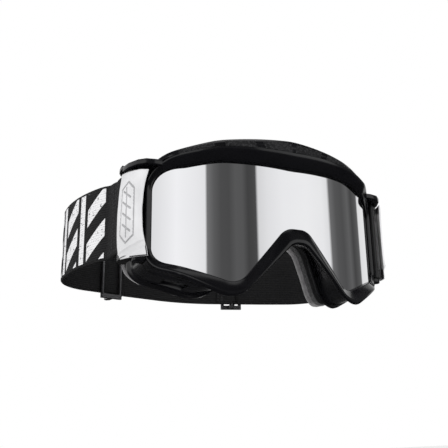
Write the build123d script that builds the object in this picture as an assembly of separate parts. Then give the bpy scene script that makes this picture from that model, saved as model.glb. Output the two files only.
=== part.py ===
from build123d import *
import math
import os

# Motorcycle goggles, in millimetres.
# +X is the wearer's left, -Y is the way the wearer looks, +Z is up.
# The origin is the middle of the face seal, on the rear face of the foam above the nose.

# Lens and its window
LENS_RADIUS = 97.0            # outer face, a cylinder about a vertical axis
LENS_THICKNESS = 1.0
LENS_FRONT_Y = -45.0          # foremost line of the lens
LENS_RIM = 2.6                # how far the lens reaches under the frame's lip
GROOVE_CLEARANCE = 0.15
WINDOW_HALF_WIDTH = 72.5
WINDOW_TOP = 35.0
WINDOW_SHOULDER_TOP = 31.5
WINDOW_SIDE_LOW = -20.0
WINDOW_CHEEK_X = 33.0
WINDOW_CHEEK_Z = -36.5
NOSE_HALF_WIDTH = 6.5
NOSE_TOP = -4.3

# Frame
BEZEL_DEPTH = 5.5             # lip in front of the lens
BEZEL_WIDTH_TOP = 6.0
BEZEL_WIDTH_SIDE = 3.3
BEZEL_WIDTH_LOW = 6.5
FRONT_WALL = 2.5              # wall behind the lens groove
SHELL_WALL = 3.0
SHELL_HALF_WIDTH = WINDOW_HALF_WIDTH + 3.7
BROW_TOP = WINDOW_TOP + 12.0
BROW_SHOULDER_TOP = WINDOW_SHOULDER_TOP + 8.5
SHELL_SIDE_LOW = WINDOW_SIDE_LOW - 4.0
SHELL_CHEEK_X = WINDOW_CHEEK_X + 4.0
SHELL_CHEEK_Z = WINDOW_CHEEK_Z - 4.0
REAR_CHEEK_X = SHELL_CHEEK_X + 2.0           # nose opening at the face: steeper than at the lens
REAR_NOSE_HALF_WIDTH = 23.0
REAR_NOSE_TOP = 0.0
FLANGE_GROWTH = 1.8           # flange outside the shell
FLANGE_WIDTH = 13.0
FLANGE_THICKNESS = 3.0
FLANGE_REAR_Y = -15.0
FACE_RADIUS = 105.0           # plan curve of the flange and of the foam

# Foam
FOAM_INSET = 1.0
FOAM_WIDTH = 12.0
FOAM_BASE = 5.0
FOAM_MIDDLE = 6.5
FOAM_FLEECE = 3.5
VENT_FOAM = 2.5
VENT_FOAM_CLEARANCE = 0.2
LOW_VENT_FOAM_CLEARANCE = 0.9   # more, as the shell's lower wall tapers
VENT_WIDTH = 15.0
VENT_FRONT_Y = -36.0
VENT_REAR_Y = -24.0
TOP_VENT_XS = (-52.0, -32.0, -11.0, 11.0, 32.0, 52.0)
LOW_VENT_X = WINDOW_HALF_WIDTH - 17.5

# Outriggers, one each side, turning on a vertical pin
PIN_X = SHELL_HALF_WIDTH + 2.8
PIN_Y = -9.0
PIN_RADIUS = 1.2
PIN_RUNNING_CLEARANCE = 0.05
BARREL_RADIUS = 2.5
OUTRIGGER_LOW = -17.0
BARREL_HIGH = 32.4            # top of the hinge barrel
RIB_THICKNESS = 2.4           # ribs that join the web to the cover
OUTRIGGER_WALL = 2.0
OUTRIGGER_END_GAP = 0.4
LUG_RADIUS = 2.5
LUG_HEIGHT = 3.2
LUG_SWING_GAP = 0.6           # round the upper lug, where the outrigger rises behind it
PIN_FLOOR = 1.0               # wall left under the pin
LUG_ROOT = 26.0               # the ear runs in to the shell over this length
BAR_X = PIN_X + 3.3
BAR_Y = 9.5
BAR_RADIUS = 1.5
BAR_WINDOW = 5.0              # clear length of the strap slot in front of the bar
SLOT_CLEARANCE = 0.4
EAR_THICKNESS = 1.95          # upper ear that holds the strap bar
COVER_THICKNESS = 1.4
COVER_LEAD = 8.0              # the cover's front edge is this far in front of the pin
COVER_TAIL = 14.5             # and its rear edge this far behind it
COVER_FRONT_X = PIN_X + 0.3
COVER_REAR_X = PIN_X + 8.4
COVER_BULGE = 2.6
COVER_LOW = -16.2
COVER_HIGH = 34.6

# Strap
STRAP_WIDTH = 46.5
STRAP_THICKNESS = 1.6
STRAP_MIDDLE_Z = 12.8
LAYER_GAP = 0.3               # between the two straps where they lie on each other
LOOP_HALF_WIDTH = PIN_X + 24.5
LOOP_BACK_Y = 137.0
BACK_ANGLE = 15.0             # slope of the straight stretches that carry the sliders
STRAIGHT_START_X = 24.0
STRAIGHT_END_X = LOOP_HALF_WIDTH - 21.5
END_TAIL = 13.0               # sewn double layer beside the outrigger's bar
SLIDER_TAIL = 11.0            # the same beside a slider's bar
END_GAP = 0.5
START_GAP = 1.5               # between the strap and its sewn end, where the strap turns outwards
FOLD_CLEARANCE = 0.1          # between a bar and the strap end folded round it

OUTRIGGER_HIGH = STRAP_MIDDLE_Z + STRAP_WIDTH / 2 + SLOT_CLEARANCE + EAR_THICKNESS

# Sliders
SLIDER_LEFT_X = STRAIGHT_START_X + 14.0
SLIDER_RIGHT_X = STRAIGHT_END_X - 18.0
SLIDER_LENGTH = 17.0          # along the strap
SLIDER_BAR_RADIUS = 1.4
SLIDER_END_HEIGHT = 3.0
SLIDER_EDGE_GAP = 0.8
SLIDER_CLEARANCE = 0.35
CRANK_WIDTH = 4.2

REACH = 200.0
LENS_AXIS_Y = LENS_FRONT_Y + LENS_RADIUS


def window_corners():
    """Corner points and radii of the lens window, from the top middle down the +X side."""
    return [
        (0.0, WINDOW_TOP - 2.5, 60.0),
        (42.0, WINDOW_TOP, 60.0),
        (WINDOW_HALF_WIDTH, WINDOW_SHOULDER_TOP, 13.0),
        (WINDOW_HALF_WIDTH, WINDOW_SIDE_LOW, 11.0),
        (WINDOW_CHEEK_X, WINDOW_CHEEK_Z, 9.0),
        (NOSE_HALF_WIDTH, NOSE_TOP, 9.0),
    ]


def bezel_corners():
    """Outer edge of the lip in front of the lens."""
    return [
        (0.0, WINDOW_TOP + BEZEL_WIDTH_TOP - 1.0, 60.0),
        (42.0, WINDOW_TOP + BEZEL_WIDTH_TOP, 60.0),
        (WINDOW_HALF_WIDTH + BEZEL_WIDTH_SIDE, WINDOW_SHOULDER_TOP + BEZEL_WIDTH_TOP - 1.5, 16.0),
        (WINDOW_HALF_WIDTH + BEZEL_WIDTH_SIDE, WINDOW_SIDE_LOW - 3.0, 14.0),
        (WINDOW_CHEEK_X + 2.0, WINDOW_CHEEK_Z - BEZEL_WIDTH_LOW - 1.0, 12.0),
        (NOSE_HALF_WIDTH - 2.0, NOSE_TOP - BEZEL_WIDTH_LOW, 7.0),
    ]


def shell_corners():
    """Outer face of the moulded shell behind the lip."""
    return [
        (0.0, BROW_TOP + 0.5, 80.0),
        (42.0, BROW_TOP - 2.0, 60.0),
        (SHELL_HALF_WIDTH, BROW_SHOULDER_TOP - 2.0, 18.0),
        (SHELL_HALF_WIDTH, SHELL_SIDE_LOW, 15.0),
        (SHELL_CHEEK_X, SHELL_CHEEK_Z, 13.0),
        (NOSE_HALF_WIDTH + 1.0, NOSE_TOP - BEZEL_WIDTH_LOW - 2.0, 9.0),
    ]


def rear_corners():
    """Outer face of the shell where it meets the face flange."""
    return shell_corners()[:4] + [
        (REAR_CHEEK_X, SHELL_CHEEK_Z, 13.0),
        (REAR_NOSE_HALF_WIDTH, REAR_NOSE_TOP, 13.0),
    ]


def full_loop(half):
    """Both sides of a half outline, counter-clockwise seen from the front."""
    mirrored = [(-x, z, r) for x, z, r in half if x > 0]
    clockwise = half + list(reversed(mirrored))
    return list(reversed(clockwise))


def grown(corners, amount):
    """The same closed outline moved outwards, arcs and all."""
    result = []
    count = len(corners)
    for i in range(count):
        before = Vector(*corners[i - 1][:2])
        here = Vector(*corners[i][:2])
        after = Vector(*corners[(i + 1) % count][:2])
        way_in = (here - before).normalized()
        way_out = (after - here).normalized()
        normal_in = Vector(way_in.Y, -way_in.X)
        normal_out = Vector(way_out.Y, -way_out.X)
        turn = way_in.X * way_out.Y - way_in.Y * way_out.X
        moved = here + (normal_in + normal_out) * (amount / (1 + normal_in.dot(normal_out)))
        radius = corners[i][2] + (amount if turn > 0 else -amount)
        result.append((moved.X, moved.Y, max(radius, 1.0)))
    return result


def outline_at(corners, y):
    """The filled outline, standing upright at y."""
    path = FilletPolyline(*[(x, z) for x, z, r in corners], radius=[r for x, z, r in corners], close=True)
    return Plane((0, y, 0), x_dir=(1, 0, 0), z_dir=(0, -1, 0)) * make_face(path)


def through(corners, first_y=-REACH, last_y=REACH):
    """A prism along Y with the given outline."""
    return extrude(outline_at(corners, last_y), amount=last_y - first_y)


def tapered(front, rear):
    """A prism along Y that changes from the front outline to the rear one inside the shell."""
    start, end = LENS_FRONT_Y, FLANGE_REAR_Y - FLANGE_THICKNESS
    change = loft([outline_at(front, start), outline_at(rear, end)], ruled=True)
    return through(front, -REACH, start) + change + through(rear, end, REACH)


def behind(first_y, radius):
    """Everything behind a curved front that is foremost at first_y on the middle line."""
    disc = Pos(0, first_y + radius, -REACH) * extrude(Circle(radius), amount=2 * REACH)
    rear = Pos(0, first_y + radius + REACH, 0) * Box(2 * radius, 2 * REACH, 2 * REACH)
    return disc + rear


def slab(front_y, front_radius, rear_y, rear_radius):
    """The curved layer between two curved fronts."""
    return behind(front_y, front_radius) - behind(rear_y, rear_radius)


def lens_layer(outer, inner):
    """Layer between two distances from the lens axis."""
    return slab(LENS_AXIS_Y - outer, outer, LENS_AXIS_Y - inner, inner)


def face_layer(front_y, rear_y):
    """Layer that follows the face."""
    return slab(front_y, FACE_RADIUS, rear_y, FACE_RADIUS)


def upright(x, y, radius, low, high):
    """A vertical rod."""
    return Pos(x, y, low) * extrude(Circle(radius), amount=high - low)


def wall_along(points, thickness, low, high):
    """A vertical wall whose plan is a thickened line through the points."""
    line = Polyline(*points)
    plan = trace(line, thickness)
    return Pos(0, 0, low) * extrude(plan, amount=high - low)


WINDOW = full_loop(window_corners())
BEZEL = full_loop(bezel_corners())
SHELL = full_loop(shell_corners())
REAR = full_loop(rear_corners())
FLANGE = grown(REAR, FLANGE_GROWTH)
LENS_INNER = LENS_RADIUS - LENS_THICKNESS
BEZEL_RADIUS = LENS_RADIUS + BEZEL_DEPTH


# ---------------------------------------------------------------- frame

def vent_cut(x, low, high):
    """Slot through the shell's top or bottom wall."""
    block = Pos(x, 0, (low + high) / 2) * Box(VENT_WIDTH, 2 * REACH, high - low)
    return block & face_like_lens(VENT_FRONT_Y, VENT_REAR_Y)


def face_like_lens(front_y, rear_y):
    """Layer of the lens's own curve, further back."""
    return slab(front_y, LENS_RADIUS, rear_y, LENS_RADIUS)


def lug(low, high):
    """Ear on the frame's side that holds one end of the hinge pin."""
    middle = (low + high) / 2
    root = Pos(PIN_X - LUG_ROOT / 2, PIN_Y, middle) * Box(LUG_ROOT, 2 * LUG_RADIUS, high - low)
    return upright(PIN_X, PIN_Y, LUG_RADIUS, low, high) + root - through(grown(SHELL, -SHELL_WALL))


def make_frame():
    window = through(WINDOW)
    lip = (through(BEZEL) - window) & lens_layer(BEZEL_RADIUS, LENS_RADIUS)
    front = (through(SHELL) + through(BEZEL) - window) & lens_layer(
        LENS_RADIUS + 1.5, LENS_INNER - FRONT_WALL)
    shell_inside = tapered(grown(SHELL, -SHELL_WALL), grown(REAR, -SHELL_WALL))
    body = (tapered(SHELL, REAR) - shell_inside) & slab(
        LENS_FRONT_Y, LENS_RADIUS, FLANGE_REAR_Y, FACE_RADIUS)
    flange_ring = through(FLANGE) - through(grown(FLANGE, -FLANGE_WIDTH))
    flange = flange_ring & face_layer(FLANGE_REAR_Y - FLANGE_THICKNESS, FLANGE_REAR_Y)
    frame = lip + front + body + flange
    for side in (-1, 1):
        for low, high in (lug_span(True), lug_span(False)):
            ear = lug(low, high)
            frame += ear if side > 0 else mirror(ear, about=Plane.YZ)
    groove = through(grown(WINDOW, LENS_RIM + GROOVE_CLEARANCE)) & lens_layer(
        LENS_RADIUS + GROOVE_CLEARANCE, LENS_INNER - GROOVE_CLEARANCE)
    frame -= groove
    for x in TOP_VENT_XS:
        frame -= vent_cut(x, WINDOW_TOP + BEZEL_WIDTH_TOP, BROW_TOP + 10)
    for side in (-1, 1):
        frame -= vent_cut(side * LOW_VENT_X, SHELL_CHEEK_Z - 10, SHELL_SIDE_LOW)
        frame -= upright(side * PIN_X, PIN_Y, PIN_RADIUS, pin_low(), pin_high())
    return frame


def lug_span(upper):
    if upper:
        low = BARREL_HIGH + OUTRIGGER_END_GAP
        return low, low + LUG_HEIGHT
    high = OUTRIGGER_LOW - OUTRIGGER_END_GAP
    return high - LUG_HEIGHT, high


def pin_low():
    return lug_span(False)[0] + PIN_FLOOR


def pin_high():
    return lug_span(True)[1]


def make_lens():
    return through(grown(WINDOW, LENS_RIM)) & lens_layer(LENS_RADIUS, LENS_INNER)


# ---------------------------------------------------------------- foam

def vent_strip(block, clearance):
    """Thin foam that backs the vent slots from inside the shell."""
    outer = grown(SHELL, -SHELL_WALL - clearance)
    inner = grown(outer, -VENT_FOAM)
    ring = through(outer) - through(inner)
    return ring & face_like_lens(VENT_FRONT_Y - 2.5, VENT_REAR_Y + 2.0) & block


def make_vent_foam_top():
    reach = TOP_VENT_XS[-1] + VENT_WIDTH / 2 + 3
    block = Pos(0, 0, WINDOW_TOP + 30) * Box(2 * reach, 2 * REACH, 60)
    return vent_strip(block, VENT_FOAM_CLEARANCE)


def make_vent_foam_bottom(side):
    block = Pos(side * LOW_VENT_X, 0, SHELL_SIDE_LOW - 18) * Box(VENT_WIDTH + 5, 2 * REACH, 40)
    return vent_strip(block, LOW_VENT_FOAM_CLEARANCE)


def foam_ring(front_y, rear_y):
    outer = grown(FLANGE, -FOAM_INSET)
    inner = grown(FLANGE, -FOAM_INSET - FOAM_WIDTH)
    return (through(outer) - through(inner)) & face_layer(front_y, rear_y)


# ---------------------------------------------------------------- outrigger (+X side)

def arm_direction():
    return (Vector(BAR_X, BAR_Y) - Vector(PIN_X, PIN_Y)).normalized()


def arm_point(distance, outwards=0.0):
    """A plan point along the arm from the pin, and sideways from it."""
    way = arm_direction()
    return (PIN_X + way.X * distance + way.Y * outwards,
            PIN_Y + way.Y * distance - way.X * outwards)


def arm_length():
    return (Vector(BAR_X, BAR_Y) - Vector(PIN_X, PIN_Y)).length


def cover_arc():
    """Centre and outer radius of the cover's plan curve."""
    front = Vector(COVER_FRONT_X, PIN_Y - COVER_LEAD)
    rear = Vector(COVER_REAR_X, PIN_Y + COVER_TAIL)
    chord = rear - front
    half = chord.length / 2
    radius = (half * half + COVER_BULGE * COVER_BULGE) / (2 * COVER_BULGE)
    inwards = Vector(-chord.Y, chord.X).normalized()
    centre = (front + rear) * 0.5 + inwards * (radius - COVER_BULGE)
    return centre, radius


def cover_disc(inset, low, high):
    """Everything at least this far inside the cover's outer face."""
    centre, radius = cover_arc()
    return upright(centre.X, centre.Y, radius - inset, low, high)


def arm_plate(start, end, low, high):
    """Level plate between the web and the inside of the cover."""
    plate = wall_along([arm_point(start, 2.0), arm_point(end, 2.0)], 7.0, low, high)
    plate += upright(*arm_point(end), BAR_RADIUS + 1.0, low, high)
    return plate & cover_disc(COVER_THICKNESS, low, high) & Pos(PIN_X + 50, 0, 0) * Box(105, 200, 200)


def make_outrigger():
    """Hinge barrel, web, strap bar with its two ears, and ribs that carry the cover."""
    low, high = OUTRIGGER_LOW, OUTRIGGER_HIGH
    slot_start = arm_length() - BAR_RADIUS - BAR_WINDOW
    slot_low = STRAP_MIDDLE_Z - STRAP_WIDTH / 2 - SLOT_CLEARANCE
    slot_high = STRAP_MIDDLE_Z + STRAP_WIDTH / 2 + SLOT_CLEARANCE
    body = wall_along([arm_point(0), arm_point(arm_length())], OUTRIGGER_WALL, low, high)
    body += upright(PIN_X, PIN_Y, BARREL_RADIUS, low, BARREL_HIGH)
    body -= wall_along([arm_point(slot_start), arm_point(arm_length() + END_TAIL)], 20.0, slot_low, slot_high)
    body += arm_plate(0, arm_length(), low, slot_low)
    body += arm_plate(0, slot_start - 3.5, BARREL_HIGH - RIB_THICKNESS, BARREL_HIGH)
    body += arm_plate(slot_start - 2.0, arm_length(), slot_high, high)
    body += upright(BAR_X, BAR_Y, BAR_RADIUS, low, high)
    body -= upright(PIN_X, PIN_Y, LUG_RADIUS + LUG_SWING_GAP, BARREL_HIGH, high + 1)
    return body - upright(PIN_X, PIN_Y, PIN_RADIUS + PIN_RUNNING_CLEARANCE, low - 1, high + 1)


def make_cover():
    """Outer plate, curved round the frame's side in front of the pin."""
    low, high = COVER_LOW, COVER_HIGH
    plate = cover_disc(0, low, high) - cover_disc(COVER_THICKNESS, low - 1, high + 1)
    length = COVER_LEAD + COVER_TAIL
    middle_y = PIN_Y + (COVER_TAIL - COVER_LEAD) / 2
    return plate & Pos(PIN_X + 50, middle_y, 0) * Box(110, length, 200)


def make_pin():
    return upright(PIN_X, PIN_Y, PIN_RADIUS, pin_low(), pin_high())


# ---------------------------------------------------------------- strap (+X side)

def strap_line():
    """Plan of one half of the loop, from the outrigger bar to the middle of the back."""
    slope = math.radians(BACK_ANGLE)
    back_radius = STRAIGHT_START_X / math.sin(slope)
    straight_top = LOOP_BACK_Y - back_radius * (1 - math.cos(slope))
    straight_foot = straight_top - (STRAIGHT_END_X - STRAIGHT_START_X) * math.tan(slope)
    corner_radius = (LOOP_HALF_WIDTH - STRAIGHT_END_X) / (1 - math.sin(slope))
    corner_y = straight_foot - corner_radius * math.cos(slope)
    start_x, start_y = arm_point(arm_length() + BAR_RADIUS + END_TAIL + START_GAP)
    rise = LOOP_HALF_WIDTH - start_x
    run = corner_y - start_y
    side_radius = (rise * rise + run * run) / (2 * rise)
    return {
        "side": ((LOOP_HALF_WIDTH - side_radius, corner_y), side_radius,
                 -math.degrees(math.asin(run / side_radius)), 0.0),
        "corner": ((LOOP_HALF_WIDTH - corner_radius, corner_y), corner_radius, 0.0, 90.0 - BACK_ANGLE),
        "straight": ((STRAIGHT_END_X, straight_foot), (STRAIGHT_START_X, straight_top)),
        "back": ((0.0, LOOP_BACK_Y - back_radius), back_radius, 90.0 - BACK_ANGLE, 90.0),
    }


LINE = strap_line()


def slider_place(x):
    """Plan point at x on the straight stretch."""
    foot = LINE["straight"][0]
    return (x, foot[1] + (foot[0] - x) * math.tan(math.radians(BACK_ANGLE)))


def arc_strip(arc, offset, start, end):
    """Plan of a strap layer over an arc of the loop."""
    centre, radius, _, _ = arc
    middle = radius + offset
    ring = Circle(middle + STRAP_THICKNESS / 2) - Circle(middle - STRAP_THICKNESS / 2)
    far = 3 * radius
    wedge = make_face(Polyline(
        (0, 0),
        (far * math.cos(math.radians(start)), far * math.sin(math.radians(start))),
        (far * math.cos(math.radians((start + end) / 2)), far * math.sin(math.radians((start + end) / 2))),
        (far * math.cos(math.radians(end)), far * math.sin(math.radians(end))),
        (0, 0)))
    return Pos(*centre) * (ring & wedge)


def line_strip(first, last, offset):
    """Plan of a strap layer over a straight stretch, offset outwards."""
    way = (Vector(*last) - Vector(*first)).normalized()
    out = Vector(way.Y, -way.X)
    shift = out * offset
    return trace(Polyline(Vector(*first) + shift, Vector(*last) + shift), STRAP_THICKNESS)


def half_strip(offset):
    """Plan of a strap layer from the outrigger to the middle of the back, +X side."""
    side = LINE["side"]
    plan = arc_strip(side, offset, side[2], side[3])
    corner = LINE["corner"]
    plan += arc_strip(corner, offset, corner[2], corner[3])
    plan += line_strip(*LINE["straight"], offset)
    back = LINE["back"]
    plan += arc_strip(back, offset, back[2], back[3])
    return plan


def far_strip(offset, slider_x, stop):
    """Plan of the same layer on the other side of the middle, as far as the other slider's loop."""
    back = LINE["back"]
    plan = arc_strip(back, offset, back[2], back[3])
    top = Vector(*LINE["straight"][1])
    way = (Vector(*slider_place(slider_x)) - top).normalized()
    last = Vector(*slider_place(slider_x)) - way * stop
    plan += line_strip((last.X, last.Y), LINE["straight"][1], offset)
    return mirror(plan, about=Plane.YZ)


def make_strap(offset, slider_x):
    """Strap that starts on the +X outrigger and ends beside the slider on the other side."""
    stop = SLIDER_BAR_RADIUS + SLIDER_TAIL + END_GAP
    plan = half_strip(offset) + far_strip(offset, slider_x, stop)
    return Pos(0, 0, STRAP_MIDDLE_Z - STRAP_WIDTH / 2) * extrude(plan, amount=STRAP_WIDTH)


def fold_radius(bar_radius):
    """Outer radius of a strap end folded round a bar."""
    return bar_radius + FOLD_CLEARANCE + STRAP_THICKNESS


def folded_end(bar_radius, tail_length, tail_side):
    """Plan of a strap end sewn round a bar at the origin, its tail along +X."""
    ring = Circle(fold_radius(bar_radius))
    tail_depth = 2 * STRAP_THICKNESS
    tail = Pos(bar_radius + tail_length / 2, tail_side) * Rectangle(tail_length, tail_depth)
    inner = Pos(bar_radius / 2 + 1.0, tail_side / 2) * Rectangle(bar_radius + 2.0, tail_depth + abs(tail_side))
    return ring + inner + tail - Circle(bar_radius + FOLD_CLEARANCE)


def make_end_loop():
    """Strap end on the +X outrigger's bar."""
    way = arm_direction()
    heading = math.degrees(math.atan2(way.Y, way.X))
    plan = Pos(BAR_X, BAR_Y) * Rot(0, 0, heading) * folded_end(BAR_RADIUS, END_TAIL, 0.0)
    return Pos(0, 0, STRAP_MIDDLE_Z - STRAP_WIDTH / 2) * extrude(plan, amount=STRAP_WIDTH)


# ---------------------------------------------------------------- slider (+X side)

LAYER = (STRAP_THICKNESS + LAYER_GAP) / 2


def crank_reach():
    """Distance of the centre bar from the middle of the two layers."""
    return -LAYER + STRAP_THICKNESS / 2 + SLIDER_CLEARANCE + fold_radius(SLIDER_BAR_RADIUS)


def bar_reach():
    """Distance of the two end bars from the middle of the layers, on the other side."""
    return LAYER + STRAP_THICKNESS / 2 + SLIDER_CLEARANCE + SLIDER_BAR_RADIUS


def make_slider_flat():
    """Slider about the origin: strap along X, centre bar towards +Y."""
    end_low = STRAP_WIDTH / 2 + SLIDER_EDGE_GAP
    end_high = end_low + SLIDER_END_HEIGHT
    bar_x = SLIDER_LENGTH / 2 - SLIDER_BAR_RADIUS
    body = upright(bar_x, -bar_reach(), SLIDER_BAR_RADIUS, -end_high, end_high)
    body += upright(-bar_x, -bar_reach(), SLIDER_BAR_RADIUS, -end_high, end_high)
    body += upright(0, crank_reach(), SLIDER_BAR_RADIUS, -end_high, end_high)
    for low in (-end_high, end_low):
        rail = Rectangle(2 * bar_x, 2 * SLIDER_BAR_RADIUS)
        body += Pos(0, -bar_reach(), low) * extrude(rail, amount=SLIDER_END_HEIGHT)
        crank = Rectangle(CRANK_WIDTH, crank_reach() + bar_reach())
        body += Pos(0, (crank_reach() - bar_reach()) / 2, low) * extrude(crank, amount=SLIDER_END_HEIGHT)
    return body


def make_tail_loop_flat():
    """Strap end sewn round the slider's centre bar, its tail along +X in the second layer."""
    tail_side = LAYER + STRAP_THICKNESS / 2 - crank_reach()
    plan = Pos(0, crank_reach()) * folded_end(SLIDER_BAR_RADIUS, SLIDER_TAIL, tail_side)
    return Pos(0, 0, -STRAP_WIDTH / 2) * extrude(plan, amount=STRAP_WIDTH)


def at_slider(flat, slider_x, crank_outwards):
    """Stand a slider piece on the +X straight stretch, its tail towards the middle of the back."""
    x, y = slider_place(slider_x)
    turned = flat if crank_outwards else mirror(flat, about=Plane.XZ)
    return Pos(x, y, STRAP_MIDDLE_Z) * Rot(0, 0, 180 - BACK_ANGLE) * mirror(turned, about=Plane.XZ)


# ---------------------------------------------------------------- assembly

def both_sides(name, solid):
    return {name + "_left": solid, name + "_right": mirror(solid, about=Plane.YZ)}


def build():
    foam_1 = FLANGE_REAR_Y + FOAM_BASE
    foam_2 = foam_1 + FOAM_MIDDLE
    foam_3 = foam_2 + FOAM_FLEECE
    parts = {
        "frame": make_frame(),
        "lens": make_lens(),
        "vent_foam_top": make_vent_foam_top(),
        "vent_foam_bottom_left": make_vent_foam_bottom(1),
        "vent_foam_bottom_right": make_vent_foam_bottom(-1),
        "face_foam_base": foam_ring(FLANGE_REAR_Y, foam_1),
        "face_foam_middle": foam_ring(foam_1, foam_2),
        "face_foam_fleece": foam_ring(foam_2, foam_3),
    }
    parts.update(both_sides("hinge_pin", make_pin()))
    parts.update(both_sides("outrigger", make_outrigger()))
    parts.update(both_sides("outrigger_cover", make_cover()))
    parts.update(both_sides("strap_end_loop", make_end_loop()))
    # The left strap is the outer layer at the back and the right strap is the inner one.
    parts["strap_left"] = make_strap(LAYER, SLIDER_RIGHT_X)
    parts["strap_right"] = mirror(make_strap(-LAYER, SLIDER_LEFT_X), about=Plane.YZ)
    # The left slider rides on the outer layer, so its centre bar is inside the loop.
    for name, flat in (("slider", make_slider_flat()), ("strap_tail_loop", make_tail_loop_flat())):
        parts[name + "_left"] = at_slider(flat, SLIDER_LEFT_X, False)
        parts[name + "_right"] = mirror(at_slider(flat, SLIDER_RIGHT_X, True), about=Plane.YZ)
    return parts


os.makedirs("parts", exist_ok=True)
for node, solid in build().items():
    export_step(solid, f"parts/{node}.step")
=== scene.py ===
import math

import bmesh
import bpy
import numpy as np
from mathutils import Matrix, Vector


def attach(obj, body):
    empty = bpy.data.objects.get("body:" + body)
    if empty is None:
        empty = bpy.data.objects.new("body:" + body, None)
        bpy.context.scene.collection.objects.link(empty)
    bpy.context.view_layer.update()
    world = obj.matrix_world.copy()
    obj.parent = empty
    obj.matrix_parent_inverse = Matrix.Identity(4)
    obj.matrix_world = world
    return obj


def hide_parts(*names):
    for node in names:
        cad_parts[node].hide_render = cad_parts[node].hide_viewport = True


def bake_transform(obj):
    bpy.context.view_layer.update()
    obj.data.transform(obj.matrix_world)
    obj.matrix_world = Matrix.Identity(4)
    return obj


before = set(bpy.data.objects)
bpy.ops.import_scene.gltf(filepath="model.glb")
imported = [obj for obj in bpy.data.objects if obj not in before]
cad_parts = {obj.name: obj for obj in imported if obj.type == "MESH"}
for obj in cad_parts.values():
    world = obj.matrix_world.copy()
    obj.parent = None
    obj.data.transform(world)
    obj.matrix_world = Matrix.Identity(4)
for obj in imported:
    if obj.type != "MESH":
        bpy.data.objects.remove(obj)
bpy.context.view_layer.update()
MM = 0.001

# ---------------------------------------------------------------- sizes, in millimetres

LENS_RADIUS = 97.0
LENS_AXIS_Y = 52.0
LENS_THICKNESS = 1.0
LENS_RIM = 2.6
WINDOW_HALF_WIDTH = 72.5
SHELL_WALL = 3.0
SHELL_FRONT_Y = -45.0
FLANGE_FRONT_Y = -18.0
FLANGE_REAR_Y = -15.0
FLANGE_GROWTH = 1.8
FLANGE_WIDTH = 13.0
FACE_RADIUS = 105.0
VENT_FRONT_Y = -36.0
VENT_REAR_Y = -24.0
VENT_WIDTH = 15.0
TOP_VENT_XS = (-52.0, -32.0, -11.0, 11.0, 32.0, 52.0)
LOW_VENT_X = 55.0
PIN = (79.0, -9.0)
BAR = (82.3, 9.5)
BAR_RADIUS = 1.5
COVER_FRONT = (78.8, -21.0)
COVER_REAR = (87.4, 5.5)
COVER_BULGE = 2.0
COVER_THICKNESS = 1.4
COVER_LOW = -16.2
COVER_HIGH = 34.6
STRAP_WIDTH = 46.5
STRAP_THICKNESS = 1.6
STRAP_MIDDLE_Z = 12.8
LAYER = 0.95                  # half the distance between the two strap layers
LOOP_HALF_WIDTH = 103.5
LOOP_BACK_Y = 137.0
BACK_ANGLE = 15.0
STRAIGHT_START_X = 24.0
STRAIGHT_END_X = 82.0
FOLD_RADIUS = 2.4             # middle of a strap end folded round a bar
END_TAIL = 13.0
SLIDER_TAIL = 11.0
SLIDER_X = {"left": 38.0, "right": 64.0}
SLIDER_BAR_RADIUS = 1.4

# Half outlines, from the top middle down the wearer's left side: x, z, corner radius
WINDOW_HALF = [(0.0, 32.5, 60.0), (42.0, 35.0, 60.0), (72.5, 31.5, 13.0),
               (72.5, -20.0, 11.0), (33.0, -36.5, 9.0), (6.5, -4.3, 9.0)]
BEZEL_HALF = [(0.0, 40.0, 60.0), (42.0, 41.0, 60.0), (75.8, 36.0, 16.0),
              (75.8, -23.0, 14.0), (35.5, -46.0, 13.0), (4.0, -13.6, 8.0)]
SHELL_HALF = [(0.0, 47.5, 80.0), (42.0, 45.0, 60.0), (76.2, 38.0, 18.0),
              (76.2, -24.0, 15.0), (37.0, -40.5, 13.0), (7.5, -12.8, 9.0)]
REAR_HALF = SHELL_HALF[:4] + [(39.0, -40.5, 13.0), (23.0, 0.0, 13.0)]


# ---------------------------------------------------------------- outlines

def full_loop(half):
    """Both sides of a half outline."""
    other_side = [(-x, z, r) for x, z, r in half if x > 0]
    return half + other_side[::-1]


def corner_arc(before, here, after, radius):
    """Centre, start angle and sweep of the arc that rounds one corner."""
    before, here, after = Vector(before), Vector(here), Vector(after)
    to_before = (before - here).normalized()
    to_after = (after - here).normalized()
    half = to_before.angle(to_after) / 2
    reach = radius / math.tan(half)
    centre = here + (to_before + to_after).normalized() * (radius / math.sin(half))
    first = here + to_before * reach - centre
    last = here + to_after * reach - centre
    start = math.atan2(first.y, first.x)
    sweep = math.atan2(last.y, last.x) - start
    sweep = (sweep + math.pi) % (2 * math.pi) - math.pi
    return centre, start, sweep


def line_steps(corners, spacing=1.4):
    """Samples on each straight stretch, shared by every outline so that their points match."""
    count = len(corners)
    steps = []
    for i in range(count):
        here, after = Vector(corners[i][:2]), Vector(corners[(i + 1) % count][:2])
        steps.append(max(6, round((after - here).length / spacing)))
    return steps


def outline(corners, steps, arc_steps=12):
    """Points of a rounded outline as an array of x and z."""
    count = len(corners)
    arcs = [corner_arc(corners[i - 1][:2], corners[i][:2], corners[(i + 1) % count][:2], corners[i][2])
            for i in range(count)]
    points = []
    for i, (centre, start, sweep) in enumerate(arcs):
        radius = corners[i][2]
        for k in range(arc_steps):
            angle = start + sweep * k / arc_steps
            points.append((centre.x + radius * math.cos(angle), centre.y + radius * math.sin(angle)))
        end = start + sweep
        leave = Vector((centre.x + radius * math.cos(end), centre.y + radius * math.sin(end)))
        centre2, start2, _ = arcs[(i + 1) % count]
        radius2 = corners[(i + 1) % count][2]
        arrive = Vector((centre2.x + radius2 * math.cos(start2), centre2.y + radius2 * math.sin(start2)))
        for k in range(steps[i]):
            point = leave.lerp(arrive, k / steps[i])
            points.append((point.x, point.y))
    return np.array(points)


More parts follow.
